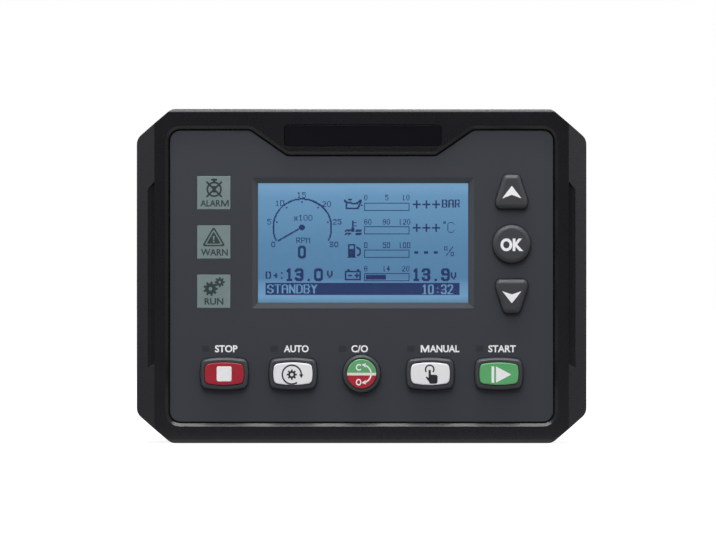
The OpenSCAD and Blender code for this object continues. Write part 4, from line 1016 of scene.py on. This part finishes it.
PLUGS = [("power_plug", 8, 5.08), ("output_plug", 12, 5.08), ("input_plug", 12, 5.08),
         ("sensing_plug", 7, 7.62)]
RIB_SIZES = {"Rib Width": 0.6 * MM, "Rib Depth": 6.4 * MM, "Rib Height": 0.8 * MM}
RIB_INSET = 4.4
ribs_between = rib_tree()
for node, ways, pitch in PLUGS:
    low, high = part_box(node)
    outer_z = high.z if high.z > 0 else low.z
    sizes = {"Ribs": ways - 1, "Pitch": pitch * MM, **RIB_SIZES}
    ribs = run_tree("ribs_" + node, bpy.data.meshes.new("ribs"), ribs_between, sizes)
    first_x = (low.x + high.x) / 2 - (ways - 2) / 2 * pitch * MM
    ribs.data.transform(Matrix.Translation((first_x, high.y - RIB_INSET * MM, outer_z)))
    place(ribs, "controller", "terminal_green")
    print(ribs.name, len(ribs.data.polygons) // 6, "ribs")

# %% [markdown]
# ## Pieces that stay as they are
# The boards, headers, pins and plungers inside are plain shapes, so their solids stay and only get a
# finish. Their meshes aren't touched: a finish goes into the material slot of the object.

# %% Finishes for the remaining solids
INSIDE = {
    "display_window": "clear_window", "display_frame": "frame_steel", "display_glass": "display_blue",
    "display_backlight": "backlight_white", "display_ribbon": "ribbon_amber", "indicator_leds": "led_cream",
    "key_switches": "switch_grey", "display_board": "board_green", "display_board_screws": "screw_steel",
    "board_link": "chip_black", "main_board": "board_green", "main_board_screws": "screw_steel",
    "microcontroller": "chip_black", "relays": "relay_blue", "capacitors": "capacitor_sleeve",
    "clock_cell": "cell_steel", "clock_cell_holder": "chip_black", "power_header": "terminal_green",
    "output_header": "terminal_green", "input_header": "terminal_green", "sensing_header": "terminal_green",
    "header_pins": "pin_brass",
}
INSIDE.update({key + "_plunger": "plunger_black" for key in KEYS})
for node, slot in INSIDE.items():
    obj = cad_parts[node]
    if not obj.material_slots:
        obj.data.materials.append(FINISHES[slot])
    for holder in obj.material_slots:
        holder.material = FINISHES[slot]
print("solids with a finish:", len(INSIDE))

# %% [markdown]
# ## The studio
# The unit stands on a pale floor and is seen straight from the front through a long lens. A broad
# lamp above and in front gives the soft shading from top to bottom, and a strip overhead lights the
# upper edges. Weak lamps stand at the sides, and one behind lights the back. The surroundings are dim
# where the camera stands and brighter to the sides, so the flats of the black bezel stay deep and its
# slopes catch light. Behind the unit they are white, for the camera and in reflections.

# %% Floor
FLOOR_HALF = 6
GLOW_NEAR, NEAR, FAR = 0.86, 0.2, 0.8
CARD_GLOW, CARD_START, CARD_END = 0.75, -0.05, -0.03


def floor_finish():
    material, tree, shader = new_material("studio_floor")
    coords = object_coords(tree)
    tint = blend_colours(tree, noise(tree, coords, 120, 2), shade(118, 118, 118), shade(126, 126, 126))
    tree.links.new(tint, shader.inputs["Base Color"])
    shader.inputs["Roughness"].default_value = 0.9
    shader.inputs["Specular IOR Level"].default_value = 0.0
    shader.inputs["Emission Color"].default_value = (1, 1, 1, 1)
    path = tree.nodes.new("ShaderNodeLightPath")
    seen = arithmetic(tree, "MAXIMUM", path.outputs["Is Camera Ray"], path.outputs["Is Transmission Ray"])
    away = tree.nodes.new("ShaderNodeVectorMath")
    away.operation = "LENGTH"
    tree.links.new(coords, away.inputs[0])
    fade = mapped(tree, away.outputs["Value"], NEAR, FAR, GLOW_NEAR)
    card = mapped(tree, axes(tree, coords)["Y"], CARD_START, CARD_END, 0.0, CARD_GLOW)
    shine = arithmetic(tree, "MULTIPLY", path.outputs["Is Glossy Ray"], card)
    glow = arithmetic(tree, "ADD", arithmetic(tree, "MULTIPLY", seen, fade), shine)
    tree.links.new(glow, shader.inputs["Emission Strength"])
    return material


floor_z = cad_low.z
floor_mesh = bpy.data.meshes.new("studio_floor")
corners = [(x * FLOOR_HALF, y * FLOOR_HALF, floor_z) for x, y in ((-1, -1), (1, -1), (1, 1), (-1, 1))]
floor_mesh.from_pydata(corners, [], [(0, 1, 2, 3)])
floor_mesh.materials.append(floor_finish())
floor = add_object("studio_floor", floor_mesh)
print("floor at", round(floor_z / MM, 2), "mm")

# %% Surroundings
FRONT_LEVELS = [(0.0, 0.42), (0.55, 0.66), (0.74, 0.66), (0.85, 0.06), (1.0, 0.05)]
LOW_SHARE, HIGH_SHARE = 0.25, 1.15
world = bpy.data.worlds.new("studio")
bpy.context.scene.world = world
world.use_nodes = True
sky = world.node_tree
sky.nodes.clear()
direction = sky.nodes.new("ShaderNodeTexCoord").outputs["Generated"]
way = axes(sky, direction)
towards_camera = arithmetic(sky, "MULTIPLY", way["Y"], -1.0)
level = ramp(sky, towards_camera, [(spot, (value, value, value, 1)) for spot, value in FRONT_LEVELS])
height = mapped(sky, way["Z"], -1.0, 1.0, LOW_SHARE, HIGH_SHARE)
studio = arithmetic(sky, "MULTIPLY", level, height)
rays = sky.nodes.new("ShaderNodeLightPath")
mirrored = arithmetic(sky, "MAXIMUM", rays.outputs["Is Glossy Ray"], rays.outputs["Is Transmission Ray"])
behind = arithmetic(sky, "GREATER_THAN", way["Y"], 0.1)
backdrop = arithmetic(sky, "MULTIPLY", mirrored, behind)
seen = arithmetic(sky, "MAXIMUM", rays.outputs["Is Camera Ray"], backdrop)
mix = sky.nodes.new("ShaderNodeMix")
sky.links.new(seen, mix.inputs["Factor"])
sky.links.new(studio, mix.inputs["A"])
mix.inputs["B"].default_value = 1.0
light = sky.nodes.new("ShaderNodeBackground")
light.inputs["Color"].default_value = (1, 1, 1, 1)
sky.links.new(mix.outputs["Result"], light.inputs["Strength"])
sky.links.new(light.outputs[0], sky.nodes.new("ShaderNodeOutputWorld").inputs["Surface"])
print("surroundings ready")

# %% Lamps
def lamp(name, place_m, power, width, depth):
    """A soft lamp that is aimed at the origin."""
    data = bpy.data.lights.new(name, "AREA")
    data.shape = "RECTANGLE"
    data.size = width
    data.size_y = depth
    data.energy = power
    obj = add_object(name, data)
    obj.location = place_m
    obj.rotation_euler = (-Vector(place_m)).to_track_quat("-Z", "Y").to_euler()
    print(name, "at", place_m)


lamp("top_lamp", (-0.05, -0.46, 0.63), 4.6, 0.7, 0.4)
lamp("strip_lamp", (0, -0.13, 0.8), 5.6, 0.9, 0.16)
lamp("left_lamp", (-0.9, -0.55, 0.25), 0.6, 0.3, 0.8)
lamp("right_lamp", (0.9, -0.55, 0.25), 0.85, 0.3, 0.8)
lamp("rear_lamp", (0.3, 0.9, 0.8), 8.0, 0.8, 0.6)

# %% Camera
DISTANCE = 1.8
VIEW_WIDTH = 0.3344
SENSOR = 36
camera_data = bpy.data.cameras.new("camera")
camera_data.sensor_width = SENSOR
camera_data.lens = SENSOR * DISTANCE / VIEW_WIDTH
camera_data.clip_end = 50
camera = add_object("camera", camera_data)
camera.location = (-1.68 * MM, -DISTANCE - 8.5 * MM, 2.85 * MM)
camera.rotation_euler = (math.radians(90), 0, 0)
bpy.context.scene.camera = camera
bpy.context.scene.view_settings.view_transform = "Standard"
print("lens:", round(camera_data.lens, 1), "mm")

# %% [markdown]
# ## Last look at the size
# The box of the solids is printed; the dressed model is meant to stay inside it.

# %% Print the box of the solids
print("box of the solids:", [round(v / MM, 2) for v in (*cad_low, *cad_high)])
